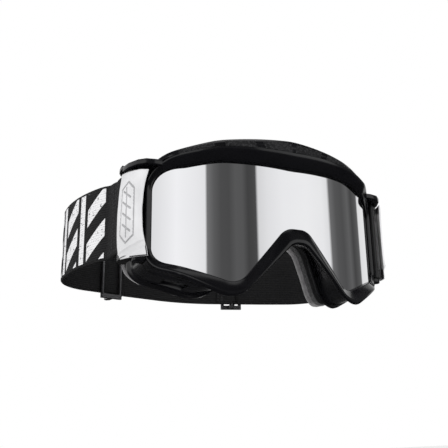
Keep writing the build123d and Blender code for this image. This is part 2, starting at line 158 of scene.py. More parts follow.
def normals_of(loop):
    """Outward unit normals of a closed outline that runs clockwise seen from the front."""
    along = np.roll(loop, -1, 0) - np.roll(loop, 1, 0)
    along /= np.linalg.norm(along, axis=1)[:, None]
    return np.stack([-along[:, 1], along[:, 0]], 1)


def grown(loop, amount):
    """Outline moved outwards, by one amount or by one for each point."""
    return loop + normals_of(loop) * np.reshape(amount, (-1, 1) if np.ndim(amount) else ())


def between(first, last, share):
    """Blend of two outlines or values."""
    return first * (1 - share) + last * share


def eased(values, low, high):
    """Smooth step from 0 at low to 1 at high."""
    share = np.clip((values - low) / (high - low), 0, 1)
    return share * share * (3 - 2 * share)


STEPS = line_steps(full_loop(WINDOW_HALF))
WINDOW = outline(full_loop(WINDOW_HALF), STEPS)
BEZEL = outline(full_loop(BEZEL_HALF), STEPS)
SHELL = outline(full_loop(SHELL_HALF), STEPS)
REAR = outline(full_loop(REAR_HALF), STEPS)
FLANGE = grown(REAR, FLANGE_GROWTH)
UPPER = SHELL[:, 1] > 34.0      # points of the outline that belong to the brow
LOWER = SHELL[:, 1] < -20.0     # and to the cheeks


def lens_depth(loop, proud):
    """Loop raised to a curved layer this far outside the lens's face."""
    y = LENS_AXIS_Y - np.sqrt((LENS_RADIUS + proud) ** 2 - loop[:, 0] ** 2)
    return np.stack([loop[:, 0], y, loop[:, 1]], 1)


def body_depth(loop, front_y):
    """Loop on the lens's curve moved back so that its middle is at front_y."""
    y = front_y + LENS_RADIUS - np.sqrt(LENS_RADIUS ** 2 - loop[:, 0] ** 2)
    return np.stack([loop[:, 0], y, loop[:, 1]], 1)


def face_depth(loop, front_y):
    """Loop on the curve of the face."""
    y = front_y + FACE_RADIUS - np.sqrt(FACE_RADIUS ** 2 - loop[:, 0] ** 2)
    return np.stack([loop[:, 0], y, loop[:, 1]], 1)


def taper(front_y, inset=0.0):
    """Shell outline at a depth: it changes from the front outline to the rear one."""
    y = body_depth(SHELL, front_y)[:, 1]
    share = np.clip((y - SHELL_FRONT_Y) / (FLANGE_FRONT_Y - SHELL_FRONT_Y), 0, 1)[:, None]
    return body_depth(grown(between(SHELL, REAR, share), -inset), front_y)


# ---------------------------------------------------------------- meshes

def new_object(name, mesh):
    """Object in the scene for a mesh."""
    obj = bpy.data.objects.new(name, mesh)
    bpy.context.scene.collection.objects.link(obj)
    return obj


def mesh_object(name, verts, faces):
    """Mesh object from points in millimetres."""
    mesh = bpy.data.meshes.new(name)
    mesh.from_pydata((np.asarray(verts, float) * MM).tolist(), [], [list(map(int, f)) for f in faces])
    mesh.update()
    mesh.polygons.foreach_set("use_smooth", [True] * len(mesh.polygons))
    return new_object(name, mesh)


def outward(obj):
    """Face every closed shell outwards, with doubles merged first."""
    bm = bmesh.new()
    bm.from_mesh(obj.data)
    bmesh.ops.remove_doubles(bm, verts=bm.verts, dist=1e-6)
    bmesh.ops.recalc_face_normals(bm, faces=bm.faces)
    bm.to_mesh(obj.data)
    bm.free()
    obj.data.update()
    return obj


def applied(obj):
    """Turn the object's modifiers into its mesh."""
    bpy.context.view_layer.update()
    mesh = bpy.data.meshes.new_from_object(obj.evaluated_get(bpy.context.evaluated_depsgraph_get()))
    obj.modifiers.clear()
    obj.data = mesh
    return obj


def bevelled(obj, width):
    """Round the sharp edges of a mesh, width in millimetres."""
    mod = obj.modifiers.new("Bevel", "BEVEL")
    mod.width = width * MM
    mod.segments = 3
    mod.limit_method = "ANGLE"
    mod.angle_limit = math.radians(50.0)
    return applied(obj)


def sharp_by_angle(obj, angle=38.0):
    """Smooth shading that stops at sharp edges."""
    obj.data.polygons.foreach_set("use_smooth", [True] * len(obj.data.polygons))
    obj.data.set_sharp_from_angle(angle=math.radians(angle))
    return obj


def ring_faces(rows, columns, skip=()):
    """Quads of a grid that is closed both ways."""
    faces = []
    for r in range(rows):
        for c in range(columns):
            if (r, c) in skip:
                continue
            r2, c2 = (r + 1) % rows, (c + 1) % columns
            faces.append((r * columns + c, r * columns + c2, r2 * columns + c2, r2 * columns + c))
    return faces


def plate_faces(across, up):
    """Closed plate made of a front grid and, numbered after it, a back grid of the same size."""
    width = across + 1
    back = width * (up + 1)
    faces = []
    for r in range(up):
        for c in range(across):
            a = r * width + c
            faces.append((a, a + 1, a + width + 1, a + width))
            faces.append((back + a, back + a + width, back + a + width + 1, back + a + 1))
    rim = list(range(width)) + [r * width + across for r in range(1, up + 1)]
    rim += [up * width + c for c in range(across - 1, -1, -1)]
    rim += [r * width for r in range(up - 1, 0, -1)]
    for a, b in zip(rim, rim[1:] + rim[:1]):
        faces.append((a, back + a, back + b, b))
    return faces


def joined(name, objects):
    """One mesh object from several."""
    bm = bmesh.new()
    for obj in objects:
        bm.from_mesh(obj.data)
        bpy.data.objects.remove(obj)
    mesh = bpy.data.meshes.new(name)
    bm.to_mesh(mesh)
    bm.free()
    return new_object(name, mesh)


def flipped(obj):
    """Turn a piece made for the wearer's left to the other side."""
    obj.data.transform(Matrix.Scale(-1, 4, (1, 0, 0)))
    obj.data.flip_normals()
    obj.data.update()
    return obj


def mirrored(obj, name):
    """Copy of a piece for the other side."""
    return flipped(new_object(name, obj.data.copy()))


# ---------------------------------------------------------------- materials

class Nodes:
    """Short ways to add shader nodes to one material."""

    def __init__(self, name, colour, roughness, metallic=0.0):
        self.material = bpy.data.materials.new(name)
        self.material.use_nodes = True
        self.material.diffuse_color = (*colour, 1.0)
        self.tree = self.material.node_tree
        self.shader = self.tree.nodes["Principled BSDF"]
        self.shader.inputs["Base Color"].default_value = (*colour, 1.0)
        self.shader.inputs["Roughness"].default_value = roughness
        self.shader.inputs["Metallic"].default_value = metallic
        self.height = None

    def add(self, kind, settings=None, **inputs):
        node = self.tree.nodes.new(kind)
        for key, value in (settings or {}).items():
            setattr(node, key, value)
        for key, value in inputs.items():
            self.put(node, key.replace("_", " "), value)
        return node

    def put(self, node, key, value):
        socket = node.inputs[int(key)] if key.isdigit() else node.inputs[key]
        if isinstance(value, bpy.types.NodeSocket):
            self.tree.links.new(value, socket)
        else:
            socket.default_value = value

    def math(self, operation, a, b=0.0, clamp=False):
        node = self.add("ShaderNodeMath", {"operation": operation, "use_clamp": clamp})
        self.put(node, "0", a)
        self.put(node, "1", b)
        return node.outputs[0]

    def spot(self, scale=1.0):
        """Object coordinates in units of 1/scale metres."""
        node = self.add("ShaderNodeTexCoord")
        mapping = self.add("ShaderNodeMapping")
        self.put(mapping, "Vector", node.outputs["Object"])
        self.put(mapping, "Scale", (scale, scale, scale))
        return mapping.outputs[0]

    def uv(self, name):
        return self.add("ShaderNodeUVMap", {"uv_map": name}).outputs[0]

    def noise(self, vector, scale, detail=3.0, roughness=0.55):
        node = self.add("ShaderNodeTexNoise")
        self.put(node, "Vector", vector)
        self.put(node, "Scale", scale)
        self.put(node, "Detail", detail)
        self.put(node, "Roughness", roughness)
        return node.outputs[0]

    def cells(self, vector, scale, feature="F1"):
        node = self.add("ShaderNodeTexVoronoi", {"feature": feature})
        self.put(node, "Vector", vector)
        self.put(node, "Scale", scale)
        return node.outputs["Distance"]

    def ramp(self, value, low, high, first=0.0, last=1.0):
        node = self.add("ShaderNodeMapRange", {"clamp": True})
        for key, number in (("0", value), ("1", low), ("2", high), ("3", first), ("4", last)):
            self.put(node, key, number)
        return node.outputs[0]

    def mix(self, factor, first, last):
        node = self.add("ShaderNodeMix", {"data_type": "RGBA"})
        self.put(node, "0", factor)
        for key, value in (("6", first), ("7", last)):
            self.put(node, key, (*value, 1.0) if isinstance(value, tuple) else value)
        return node.outputs[2]

    def colour(self, value):
        self.put(self.shader, "Base Color", value)

    def rough(self, value):
        self.put(self.shader, "Roughness", value)

    def bump(self, height, distance, strength=1.0):
        """Bump of a height from 0 to 1, distance in millimetres."""
        node = self.add("ShaderNodeBump")
        self.put(node, "Height", height)
        self.put(node, "Distance", distance * MM)
        self.put(node, "Strength", strength)
        if self.height is not None:
            self.put(node, "Normal", self.height)
        self.height = node.outputs[0]
        self.put(self.shader, "Normal", self.height)


def moulded_gloss(name, colour, low, high):
    """Injection-moulded plastic: gloss with faint orange peel and fine handling wear."""
    n = Nodes(name, colour, low)
    wear = n.noise(n.spot(), 90.0, 5.0)
    n.rough(n.ramp(wear, 0.35, 0.75, low, high))
    n.colour(n.mix(n.ramp(n.noise(n.spot(), 35.0), 0.3, 0.7), tuple(c * 0.8 for c in colour),
                   tuple(min(1.0, c * 1.15) for c in colour)))
    n.bump(n.noise(n.spot(), 420.0, 2.0), 0.02, 0.35)
    return n.material


def open_foam(name, dark, light, pores, depth):
    """Open-cell foam: round pores, painted shade where their bump is low, and slight random colour
    variation.
    """
    n = Nodes(name, light, 0.95)
    pore = n.cells(n.spot(), pores)
    patch = n.noise(n.spot(), 60.0, 4.0)
    # darker away from each pore's centre, where the bump is low: painted shade, varied by random patches of
    # tone
    shade = n.math("MULTIPLY", n.ramp(pore, 0.1, 0.6), n.ramp(patch, 0.2, 0.8, 0.7, 1.0))
    n.colour(n.mix(shade, light, dark))
    n.bump(n.math("SUBTRACT", 1.0, pore), depth, 0.8)
    return n.material


def brushed_metal(name, colour, low, high):
    """Metal with fine upright streaks."""
    n = Nodes(name, colour, low, 1.0)
    streak = n.add("ShaderNodeMapping")
    n.put(streak, "Vector", n.spot())
    n.put(streak, "Scale", (1.0, 1.0, 0.06))
    grain = n.noise(streak.outputs[0], 2600.0, 2.0)
    n.rough(n.ramp(grain, 0.3, 0.7, low, high))
    n.colour(n.mix(n.noise(n.spot(), 140.0), tuple(c * 0.75 for c in colour), colour))
    n.bump(grain, 0.01, 0.3)
    return n.material


RIB_PITCH = 1.5               # knit: distance between its lengthwise ribs
PICK_PITCH = 1.1              # and between yarn crossings along them
KNIT_HEIGHT = 0.18
# Colours of the knit and of the ink, from the weave's hollows to its crests: the darker hollows are painted
# shade
KNIT_SHADED_HOLLOW, KNIT_CREST = (0.0025, 0.0025, 0.003), (0.014, 0.014, 0.015)
INK_SHADED_HOLLOW, INK_CREST = (0.62, 0.62, 0.63), (0.84, 0.84, 0.85)


def knit(n):
    """Raised ribs and yarn crossings of elastic webbing, on the strap's own length and width."""
    spread = n.add("ShaderNodeSeparateXYZ")
    n.put(spread, "Vector", n.uv("webbing"))
    along, across = spread.outputs[0], spread.outputs[1]
    course = n.math("SINE", n.math("MULTIPLY", across, 2 * math.pi / RIB_PITCH))
    stagger = n.math("MULTIPLY", n.math("SINE", n.math("MULTIPLY", across, math.pi / RIB_PITCH)), 0.9)
    pick = n.math("SINE", n.math("MULTIPLY", n.math("ADD", along, stagger), 2 * math.pi / PICK_PITCH))
    weave = n.math("ADD", n.math("MULTIPLY", course, 0.6), n.math("MULTIPLY", pick, 0.4))
    yarn = n.math("ADD", n.math("MULTIPLY", weave, 0.5), 0.5)
    n.bump(yarn, KNIT_HEIGHT, 0.8)
    return along, across, yarn


def plain_webbing():
    """The inner face and the selvedges: black knit."""
    n = Nodes("strap_knit_black", (0.006, 0.006, 0.007), 0.86)
    yarn = knit(n)[2]
    # darker where the weave is low: painted shade in its hollows
    n.colour(n.mix(yarn, KNIT_SHADED_HOLLOW, KNIT_CREST))
    return n.material


PRINT_START = 44.0            # the printed part of the strap begins this far from its outrigger
PRINT_END = 148.0
PRINT_MARGIN = 1.6            # black selvedge beside the print
PRINT_REPEAT = 30.0           # one wide and one narrow block
BAR_PITCH = 21.0              # slanting bars across the wide block
BAR_LEAN = 22.0
BAR_GAP = 0.24                # half the black gap between bars, as a share of their pitch


def printed_webbing():
    """The outer face: worn white blocks printed on the black knit."""
    n = Nodes("strap_knit_printed", (0.02, 0.02, 0.02), 0.8)
    along, across, yarn = knit(n)

    def band(value, low, high):
        """1 where the value lies between the limits."""
        return n.math("MULTIPLY", n.math("GREATER_THAN", value, low),
                      n.math("LESS_THAN", value, high))

    column = n.math("FRACT", n.math("DIVIDE", n.math("SUBTRACT", along, PRINT_START), PRINT_REPEAT))
    lean = n.math("DIVIDE", n.math("ADD", across, n.math("MULTIPLY", column, BAR_LEAN)), BAR_PITCH)
    gap = n.math("ABSOLUTE", n.math("SUBTRACT", n.math("FRACT", lean), 0.5))
    wide = n.math("MULTIPLY", band(column, 0.02, 0.60), n.math("GREATER_THAN", gap, BAR_GAP))
    ink = n.math("MAXIMUM", wide, band(column, 0.71, 0.90))
    inside = band(across, PRINT_MARGIN, STRAP_WIDTH - PRINT_MARGIN)
    printed = band(along, PRINT_START, PRINT_END)
    scuffed = n.math("LESS_THAN", n.noise(n.uv("webbing"), 0.42, 8.0, 0.75), 0.585)
    speck = n.math("LESS_THAN", n.noise(n.uv("webbing"), 2.4, 3.0, 0.6), 0.66)
    for limit in (inside, printed, scuffed, speck):
        ink = n.math("MULTIPLY", ink, limit)
    # knit and ink both darker where the weave is low: painted shade in its hollows
    n.colour(n.mix(ink, n.mix(yarn, KNIT_SHADED_HOLLOW, KNIT_CREST), n.mix(yarn, INK_SHADED_HOLLOW, INK_CREST)))
    return n.material


def fleece():
    """Short pile: clumps with painted shade between them, fine fibres, a soft sheen."""
    n = Nodes("fleece_pile", (0.20, 0.20, 0.21), 1.0)
    clump = n.noise(n.spot(), 260.0, 6.0, 0.7)
    fibre = n.noise(n.spot(), 1500.0, 3.0, 0.7)
    # colour follows the clumps' bump, darker where the pile is low: painted shade
    n.colour(n.mix(n.ramp(clump, 0.3, 0.7), (0.055, 0.052, 0.056), (0.20, 0.195, 0.20)))
    n.bump(clump, 0.5, 0.7)
    n.bump(fibre, 0.25, 0.6)
    n.shader.inputs["Sheen Weight"].default_value = 0.5
    n.shader.inputs["Sheen Roughness"].default_value = 0.4
    return n.material


def sewing_thread():
    """Twisted polyester thread."""
    n = Nodes("strap_thread_black", (0.03, 0.03, 0.032), 0.6)
    n.bump(n.noise(n.spot(), 2200.0, 2.0), 0.05, 0.6)
    return n.material


def mirror_coating():
    """Chrome mirror on polycarbonate: almost even, with the faintest dust and flow."""
    n = Nodes("mirror_lens", (0.93, 0.93, 0.95), 0.03, 1.0)
    dust = n.noise(n.spot(), 700.0, 4.0, 0.8)
    n.rough(n.ramp(dust, 0.55, 0.85, 0.025, 0.10))
    flow = n.noise(n.spot(), 22.0, 2.0)
    n.colour(n.mix(flow, (0.90, 0.90, 0.935), (0.95, 0.955, 0.96)))
    return n.material


GLOSS_BLACK = moulded_gloss("frame_gloss_black", (0.004, 0.004, 0.005), 0.13, 0.22)
SATIN_BLACK = moulded_gloss("outrigger_satin_black", (0.007, 0.007, 0.008), 0.3, 0.42)
COVER_WHITE = moulded_gloss("cover_satin_white", (0.66, 0.66, 0.67), 0.42, 0.55)
COVER_GREY = moulded_gloss("cover_engraving_grey", (0.40, 0.40, 0.41), 0.5, 0.6)
VENT_FOAM = open_foam("vent_filter_foam", (0.004, 0.004, 0.005), (0.030, 0.030, 0.032), 900.0, 0.5)
DENSE_FOAM = open_foam("face_foam_dense", (0.004, 0.004, 0.005), (0.012, 0.012, 0.013), 1500.0, 0.15)
SOFT_FOAM = open_foam("face_foam_soft", (0.035, 0.035, 0.036), (0.085, 0.085, 0.087), 800.0, 0.35)
FLEECE = fleece()
MIRROR = mirror_coating()
KNIT = plain_webbing()
PRINTED = printed_webbing()
PIN_STEEL = brushed_metal("pin_steel", (0.42, 0.42, 0.43), 0.25, 0.4)
SLIDER_METAL = brushed_metal("slider_cast_grey", (0.30, 0.30, 0.31), 0.3, 0.48)
THREAD = sewing_thread()


def finish_piece(obj, body, material, nodes=(), inlays=()):
    """Material, inlaid materials of numbered faces, stand-in and body of a piece."""
    if material is not None:
        numbers = [face.material_index for face in obj.data.polygons] if inlays else []
        obj.data.materials.clear()
        for finish in (material, *inlays):
            obj.data.materials.append(finish)
        if inlays:
            obj.data.polygons.foreach_set("material_index", numbers)
    if nodes:
        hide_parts(*nodes)
    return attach(obj, body)


# ---------------------------------------------------------------- frame

BROW_BAND = (9, 12)           # rows of the cross-section that carry the filter foam of the brow
BROW_BAND_LOW_Z = 41.0
BROW_RIBS = (0.0, 21.5, 42.0)  # gloss ribs between its patches, the same on both sides
BROW_RIB_HALF_WIDTH = 2.2
SEAT_DEPTH = 1.15             # the lens's groove, from the lens's face backwards
SEAT_CLEARANCE = 0.15
SEAT_WALL = 3.65


def frame_rows():
    """Cross-section of the frame, from the lip's inner edge over the outside and back inside."""
    side = eased(np.abs(WINDOW[:, 0]), 58.0, 71.0)
    brow = eased(WINDOW[:, 1], 14.0, 28.0) * (1 - side)
    low = 1 - eased(SHELL[:, 1], 10.0, 34.0)
    sight = grown(WINDOW, -1.7 * brow)     # the lip overhangs the window along the brow
    rise = 1 - 0.72 * side                 # and is much lower at the temples
    lip = [
        lens_depth(sight, SEAT_CLEARANCE),
        lens_depth(sight, SEAT_CLEARANCE + 1.1 * rise),
        lens_depth(grown(sight, 0.25), SEAT_CLEARANCE + 1.9 * rise),
        lens_depth(grown(sight, 0.9), SEAT_CLEARANCE + 2.5 * rise),
    ]
    # share of the way from the window to the bezel's edge, height over the lens, and its part that rises
    for share, base, lift in ((0.42, 0.3, 3.5), (0.66, 0.8, 4.0), (0.80, 1.0, 4.25), (0.92, 0.8, 4.35)):
        lip.append(lens_depth(between(sight, BEZEL, share), base + lift * rise))
    lip += [
        lens_depth(BEZEL, 0.6 + 3.8 * rise),
        lens_depth(grown(BEZEL, 0.1), 0.3 + 3.3 * rise),
        lens_depth(between(BEZEL, SHELL, 0.18), 2.9 - 0.4 * low),
        lens_depth(between(BEZEL, SHELL, 0.5), 2.8 - 1.8 * low),
        lens_depth(between(BEZEL, SHELL, 0.85), 2.4 - 3.2 * low),
        lens_depth(grown(SHELL, 0.9 * (1 - low)), 0.9 - 3.5 * low),
    ]
    depths = [-41.0, -38.5, VENT_FRONT_Y, -33.6, -31.2, -28.8, -26.4, VENT_REAR_Y]
    outer = [taper(y) for y in depths]
    rear_edge = [
        face_depth(REAR, FLANGE_FRONT_Y - 0.6),
        face_depth(grown(REAR, 0.5), FLANGE_FRONT_Y),
        face_depth(grown(FLANGE, -0.4), FLANGE_FRONT_Y + 0.05),
        face_depth(FLANGE, FLANGE_FRONT_Y + 0.5),
        face_depth(FLANGE, FLANGE_REAR_Y - 0.5),
        face_depth(grown(FLANGE, -0.4), FLANGE_REAR_Y),
        face_depth(grown(FLANGE, -FLANGE_WIDTH + 0.4), FLANGE_REAR_Y),
        face_depth(grown(FLANGE, -FLANGE_WIDTH), FLANGE_REAR_Y - 0.5),
        face_depth(grown(FLANGE, -FLANGE_WIDTH), FLANGE_FRONT_Y + 0.4),
        face_depth(grown(REAR, -SHELL_WALL), FLANGE_FRONT_Y),
    ]
    inner = [taper(y, SHELL_WALL) for y in reversed(depths)]
    seat = [
        lens_depth(grown(SHELL, -SHELL_WALL), -SEAT_WALL),
        lens_depth(grown(WINDOW, 0.3), -SEAT_WALL),
        lens_depth(WINDOW, 0.45 - SEAT_WALL),
        lens_depth(WINDOW, -SEAT_DEPTH),
        lens_depth(grown(WINDOW, LENS_RIM + SEAT_CLEARANCE), -SEAT_DEPTH),
        lens_depth(grown(WINDOW, LENS_RIM + SEAT_CLEARANCE), SEAT_CLEARANCE),
    ]
    first_vent = len(lip) + depths.index(VENT_FRONT_Y)
    last_vent = len(lip) + depths.index(VENT_REAR_Y)
    start_inner = len(lip) + len(outer) + len(rear_edge)
    partner = {len(lip) + k: start_inner + len(depths) - 1 - k for k in range(len(depths))}
    return lip + outer + rear_edge + inner + seat, first_vent, last_vent, partner


def vent_columns():
    """Columns of the outline that lie in each vent, in order."""
    groups = [(x, UPPER) for x in TOP_VENT_XS] + [(side * LOW_VENT_X, LOWER) for side in (-1, 1)]
    return [np.flatnonzero((np.abs(SHELL[:, 0] - x) < VENT_WIDTH / 2) & where) for x, where in groups]


def on_brow_foam(row, column):
    """Whether a face of the frame is filter foam of the brow and not a gloss rib."""
    x, z = SHELL[column]
    from_rib = min(abs(abs(x) - rib) for rib in BROW_RIBS)
    return BROW_BAND[0] <= row < BROW_BAND[1] and z > BROW_BAND_LOW_Z and from_rib > BROW_RIB_HALF_WIDTH


def make_frame():
    """Shell of the frame: its closed cross-section swept round, with vents cut through both walls."""
    rows, first_vent, last_vent, partner = frame_rows()
    columns = len(WINDOW)
    skip = set()
    walls = []

    def wall(r, c, r2, c2):
        """Face from one edge of a vent's rim outside to the same edge inside."""
        walls.append((r * columns + c, r2 * columns + c2,
                      partner[r2] * columns + c2, partner[r] * columns + c))

    for ordered in vent_columns():
        for c in ordered[:-1]:
            for r in range(first_vent, last_vent):
                skip.add((r, c))
                skip.add((partner[r + 1], c))
        for r in range(first_vent, last_vent):
            for c in (ordered[0], ordered[-1]):
                wall(r, c, r + 1, c)
        for c in ordered[:-1]:
            for r in (first_vent, last_vent):
                wall(r, c, r, c + 1)
    faces = ring_faces(len(rows), columns, skip) + walls
    shell = mesh_object("frame_shell", np.concatenate(rows), faces)
    paint = [int(on_brow_foam(*divmod(min(face[:2]), columns))) for face in faces]
    shell.data.polygons.foreach_set("material_index", paint)
    return outward(shell)


def prism(name, plan, low, high, bevel=0.6):
    """Upright block with a rounded rim, from a plan of x and y."""
    count = len(plan)
    verts = [(x, y, low) for x, y in plan] + [(x, y, high) for x, y in plan]
    faces = [list(range(count))[::-1], [count + i for i in range(count)]]
    faces += [(i, (i + 1) % count, count + (i + 1) % count, count + i) for i in range(count)]
    return bevelled(outward(mesh_object(name, verts, faces)), bevel)


LOWER_EAR_LOW, LOWER_EAR_HIGH = -20.6, -17.4
EAR_RADIUS = 2.5


def hinge_ear_plan():
    """Plan of an ear: a tapering arm that leaves the shell's side and ends round the pin."""
    tip = [(PIN[0] + EAR_RADIUS * math.cos(a), PIN[1] + EAR_RADIUS * math.sin(a))
           for a in np.linspace(-math.pi / 2, math.pi / 2, 13)]
    return [(70.0, -13.5), (74.5, -12.4)] + tip + [(74.0, -5.2), (70.0, -4.6)]


# Plan of the arm that reaches from the brow over the cover, clear of the outrigger's web
UPPER_ARM_PLAN = [
    (62.0, -20.0), (72.0, -20.5), (77.5, -19.5), (81.5, -16.0), (85.0, -9.5), (86.6, -2.6),
    (84.4, -2.0), (82.6, -8.2), (76.4, -7.6), (75.8, -4.6), (66.0, -4.6),
]
UPPER_ARM_LOW, UPPER_ARM_HIGH = 32.9, 36.4
UPPER_ARM_SLOPE = 0.10        # fall of its top per millimetre outwards from the shell
UPPER_ARM_ROOT_X = 68.0


def upper_arm():
    """Arm from the brow to above the cover, its top falling outwards."""
    arm = prism("hinge_ear", UPPER_ARM_PLAN, UPPER_ARM_LOW, UPPER_ARM_HIGH, 0.7)
    middle = (UPPER_ARM_LOW + UPPER_ARM_HIGH) / 2
    for vertex in arm.data.vertices:
        if vertex.co.z > middle:
            vertex.co.z -= UPPER_ARM_SLOPE * max(0.0, vertex.co.x - UPPER_ARM_ROOT_X)
    return arm


frame_shell = make_frame()
ears = []
for ear in (prism("hinge_ear", hinge_ear_plan(), LOWER_EAR_LOW, LOWER_EAR_HIGH), upper_arm()):
    ears += [ear, mirrored(ear, "hinge_ear_right")]
goggle_frame = sharp_by_angle(joined("goggle_frame", [frame_shell] + ears))
finish_piece(goggle_frame, "root", GLOSS_BLACK, ["frame"], [VENT_FOAM])


# ---------------------------------------------------------------- lens

def lens_edge():
    """Upper and lower edge of the lens, each in order of x."""
    loop = grown(WINDOW, LENS_RIM)
    reach = np.abs(loop[:, 0]).max() - 0.001
    inner = loop[np.abs(loop[:, 0]) < reach]
    top = inner[inner[:, 1] > 5]
    low = inner[inner[:, 1] <= 5]
    return top[np.argsort(top[:, 0])], low[np.argsort(low[:, 0])]


def make_lens(columns=260, levels=36):
    """Cylindrical sheet cut to the window, with rows along the cylinder's own lines."""
    top, low = lens_edge()
    reach = WINDOW_HALF_WIDTH + LENS_RIM
    angle = math.asin((reach - 0.02) / LENS_RADIUS)
    share = np.sin(np.linspace(-math.pi / 2, math.pi / 2, columns + 1))
    spread = 0.6 * share + 0.4 * np.linspace(-1, 1, columns + 1)
    x = LENS_RADIUS * np.sin(angle * spread)
    high_z = np.interp(x, top[:, 0], top[:, 1])
    low_z = np.interp(x, low[:, 0], low[:, 1])
    front, back = [], []
    for level in np.linspace(0, 1, levels + 1):
        z = low_z * (1 - level) + high_z * level
        for target, radius in ((front, LENS_RADIUS), (back, LENS_RADIUS - LENS_THICKNESS)):
            across = x * radius / LENS_RADIUS
            y = LENS_AXIS_Y - np.sqrt(radius ** 2 - across ** 2)
            target.append(np.stack([across, y, z], 1))
    lens = mesh_object("mirror_lens_piece", np.concatenate(front + back), plate_faces(columns, levels))
    return sharp_by_angle(outward(lens))


finish_piece(make_lens(), "root", MIRROR, ["lens"])


# ---------------------------------------------------------------- foam

CHEEK_INSET = 3.2             # the foam stands this much further in along the cheeks


def foam_ring(name, front_y, rear_y, soft, proud, width=12.0):
    """One foam layer: a crowned ring whose edges pull in at the glue lines."""
    outer_bulge = 0.35 * soft
    cheek = eased(np.abs(FLANGE[:, 0]), 36.0, 48.0) * (1 - eased(FLANGE[:, 1], -30.0, -8.0))
    inset = 1.0 + CHEEK_INSET * cheek
    width = width - 0.5 * CHEEK_INSET * cheek
    rows = []
    count = 10
    for k in range(count + 1):
        share = k / count
        bulge = math.sin(math.pi * share) * outer_bulge
        y = front_y + (rear_y - front_y) * share
        rows.append(face_depth(grown(FLANGE, -inset + bulge), y))
    for k in range(1, 12):
        share = k / 12
        crown = math.sin(math.pi * share) * proud
        rows.append(face_depth(grown(FLANGE, -inset - width * share), rear_y + crown))
    for k in range(count + 1):
        share = 1 - k / count
        bulge = math.sin(math.pi * share) * outer_bulge
        y = front_y + (rear_y - front_y) * share
        rows.append(face_depth(grown(FLANGE, -inset - width - bulge), y))
    for k in range(1, 6):
        rows.append(face_depth(grown(FLANGE, -inset - width * (1 - k / 6)), front_y))
    return outward(mesh_object(name, np.concatenate(rows), ring_faces(len(rows), len(WINDOW))))


def uneven(obj, amount, scale, seed):
    """Slow unevenness of soft foam, moved along the mesh's normals."""
    mesh = obj.data
    phases = np.random.default_rng(seed).uniform(0, 2 * math.pi, 6)
    for vertex in mesh.vertices:
        p = vertex.co / MM / scale
        wave = (math.sin(p.x + phases[0]) * math.sin(p.z * 1.3 + phases[1])
                + 0.6 * math.sin(p.x * 2.3 + phases[2]) * math.sin(p.y * 2.1 + phases[3])
                + 0.4 * math.sin(p.z * 3.1 + phases[4] + p.x) * math.sin(p.y * 2.9 + phases[5]))
        vertex.co += vertex.normal * (wave * amount * MM / 2)
    mesh.update()
    return obj


FOAM_LAYERS = (
    ("foam_layer_base", -15.0, -10.5, 0.6, 0.0, DENSE_FOAM, "foam_dense", "face_foam_base"),
    ("foam_layer_middle", -10.5, -6.0, 1.4, 0.0, SOFT_FOAM, "foam_soft", "face_foam_middle"),
    ("foam_layer_fleece", -6.0, -0.5, 1.4, 0.5, FLEECE, "fleece", "face_foam_fleece"),
)
for index, (name, front_y, rear_y, soft, proud, material, slot, node) in enumerate(FOAM_LAYERS):
    ring = uneven(foam_ring(name, front_y, rear_y, soft, proud), 0.12 * soft, 6.0, 20 + index)
    finish_piece(ring, "root", material, [node])


VENT_FOAM_DEPTH = 2.6         # from the shell's inner wall to the back of the filter foam
VENT_FOAM_MARGIN = 2.5        # the foam is this much wider than its vents


def vent_pad(name, keep, front_y, rear_y, rise, groups):
    """Filter foam behind the vents, standing up a little into each opening."""
    near = np.zeros(len(SHELL))
    for x in groups:
        near = np.maximum(near, np.clip(1.25 - np.abs(SHELL[:, 0] - x) / (VENT_WIDTH / 2), 0, 0.35) / 0.35)
    near *= keep
    shift = len(keep) // 2 if keep[0] else 0
    index = (np.flatnonzero(np.roll(keep, shift)) - shift) % len(keep)
    rows = []
    depths = np.linspace(front_y, rear_y, 9)
    for y in depths:
        inside = VENT_FRONT_Y + 0.8 <= y <= VENT_REAR_Y - 0.8
        lift = near * (rise if inside else 0.0)
        loop = taper(y, SHELL_WALL + 0.25)
        out = normals_of(loop[:, [0, 2]])
        loop[:, 0] += out[:, 0] * lift
        loop[:, 2] += out[:, 1] * lift
        rows.append(loop[index])
    rows += [taper(y, SHELL_WALL + VENT_FOAM_DEPTH)[index] for y in depths[::-1]]
    count, total = len(index), len(rows)
    faces = []
    for r in range(total):
        for c in range(count - 1):
            a, b = r * count + c, ((r + 1) % total) * count + c
            faces.append((a, a + 1, b + 1, b))
    faces.append([r * count for r in range(total)])
    faces.append([r * count + count - 1 for r in range(total)])
    return sharp_by_angle(outward(mesh_object(name, np.concatenate(rows), faces)), 60.0)


pad_reach = VENT_WIDTH / 2 + VENT_FOAM_MARGIN
pad_depths = (VENT_FRONT_Y - VENT_FOAM_MARGIN, VENT_REAR_Y + 2.0)
top_keep = UPPER & (np.abs(SHELL[:, 0]) < TOP_VENT_XS[-1] + pad_reach)
low_keep = LOWER & (np.abs(SHELL[:, 0] - LOW_VENT_X) < pad_reach)
top_pad = vent_pad("vent_filter_top", top_keep, *pad_depths, 2.3, TOP_VENT_XS)
low_pad = vent_pad("vent_filter_low_left", low_keep, *pad_depths, 1.6, (LOW_VENT_X,))
low_pad_right = mirrored(low_pad, "vent_filter_low_right")
for pad, node in ((top_pad, "top"), (low_pad, "bottom_left"), (low_pad_right, "bottom_right")):
    finish_piece(pad, "root", VENT_FOAM, [f"vent_foam_{node}"])


# ---------------------------------------------------------------- outrigger covers

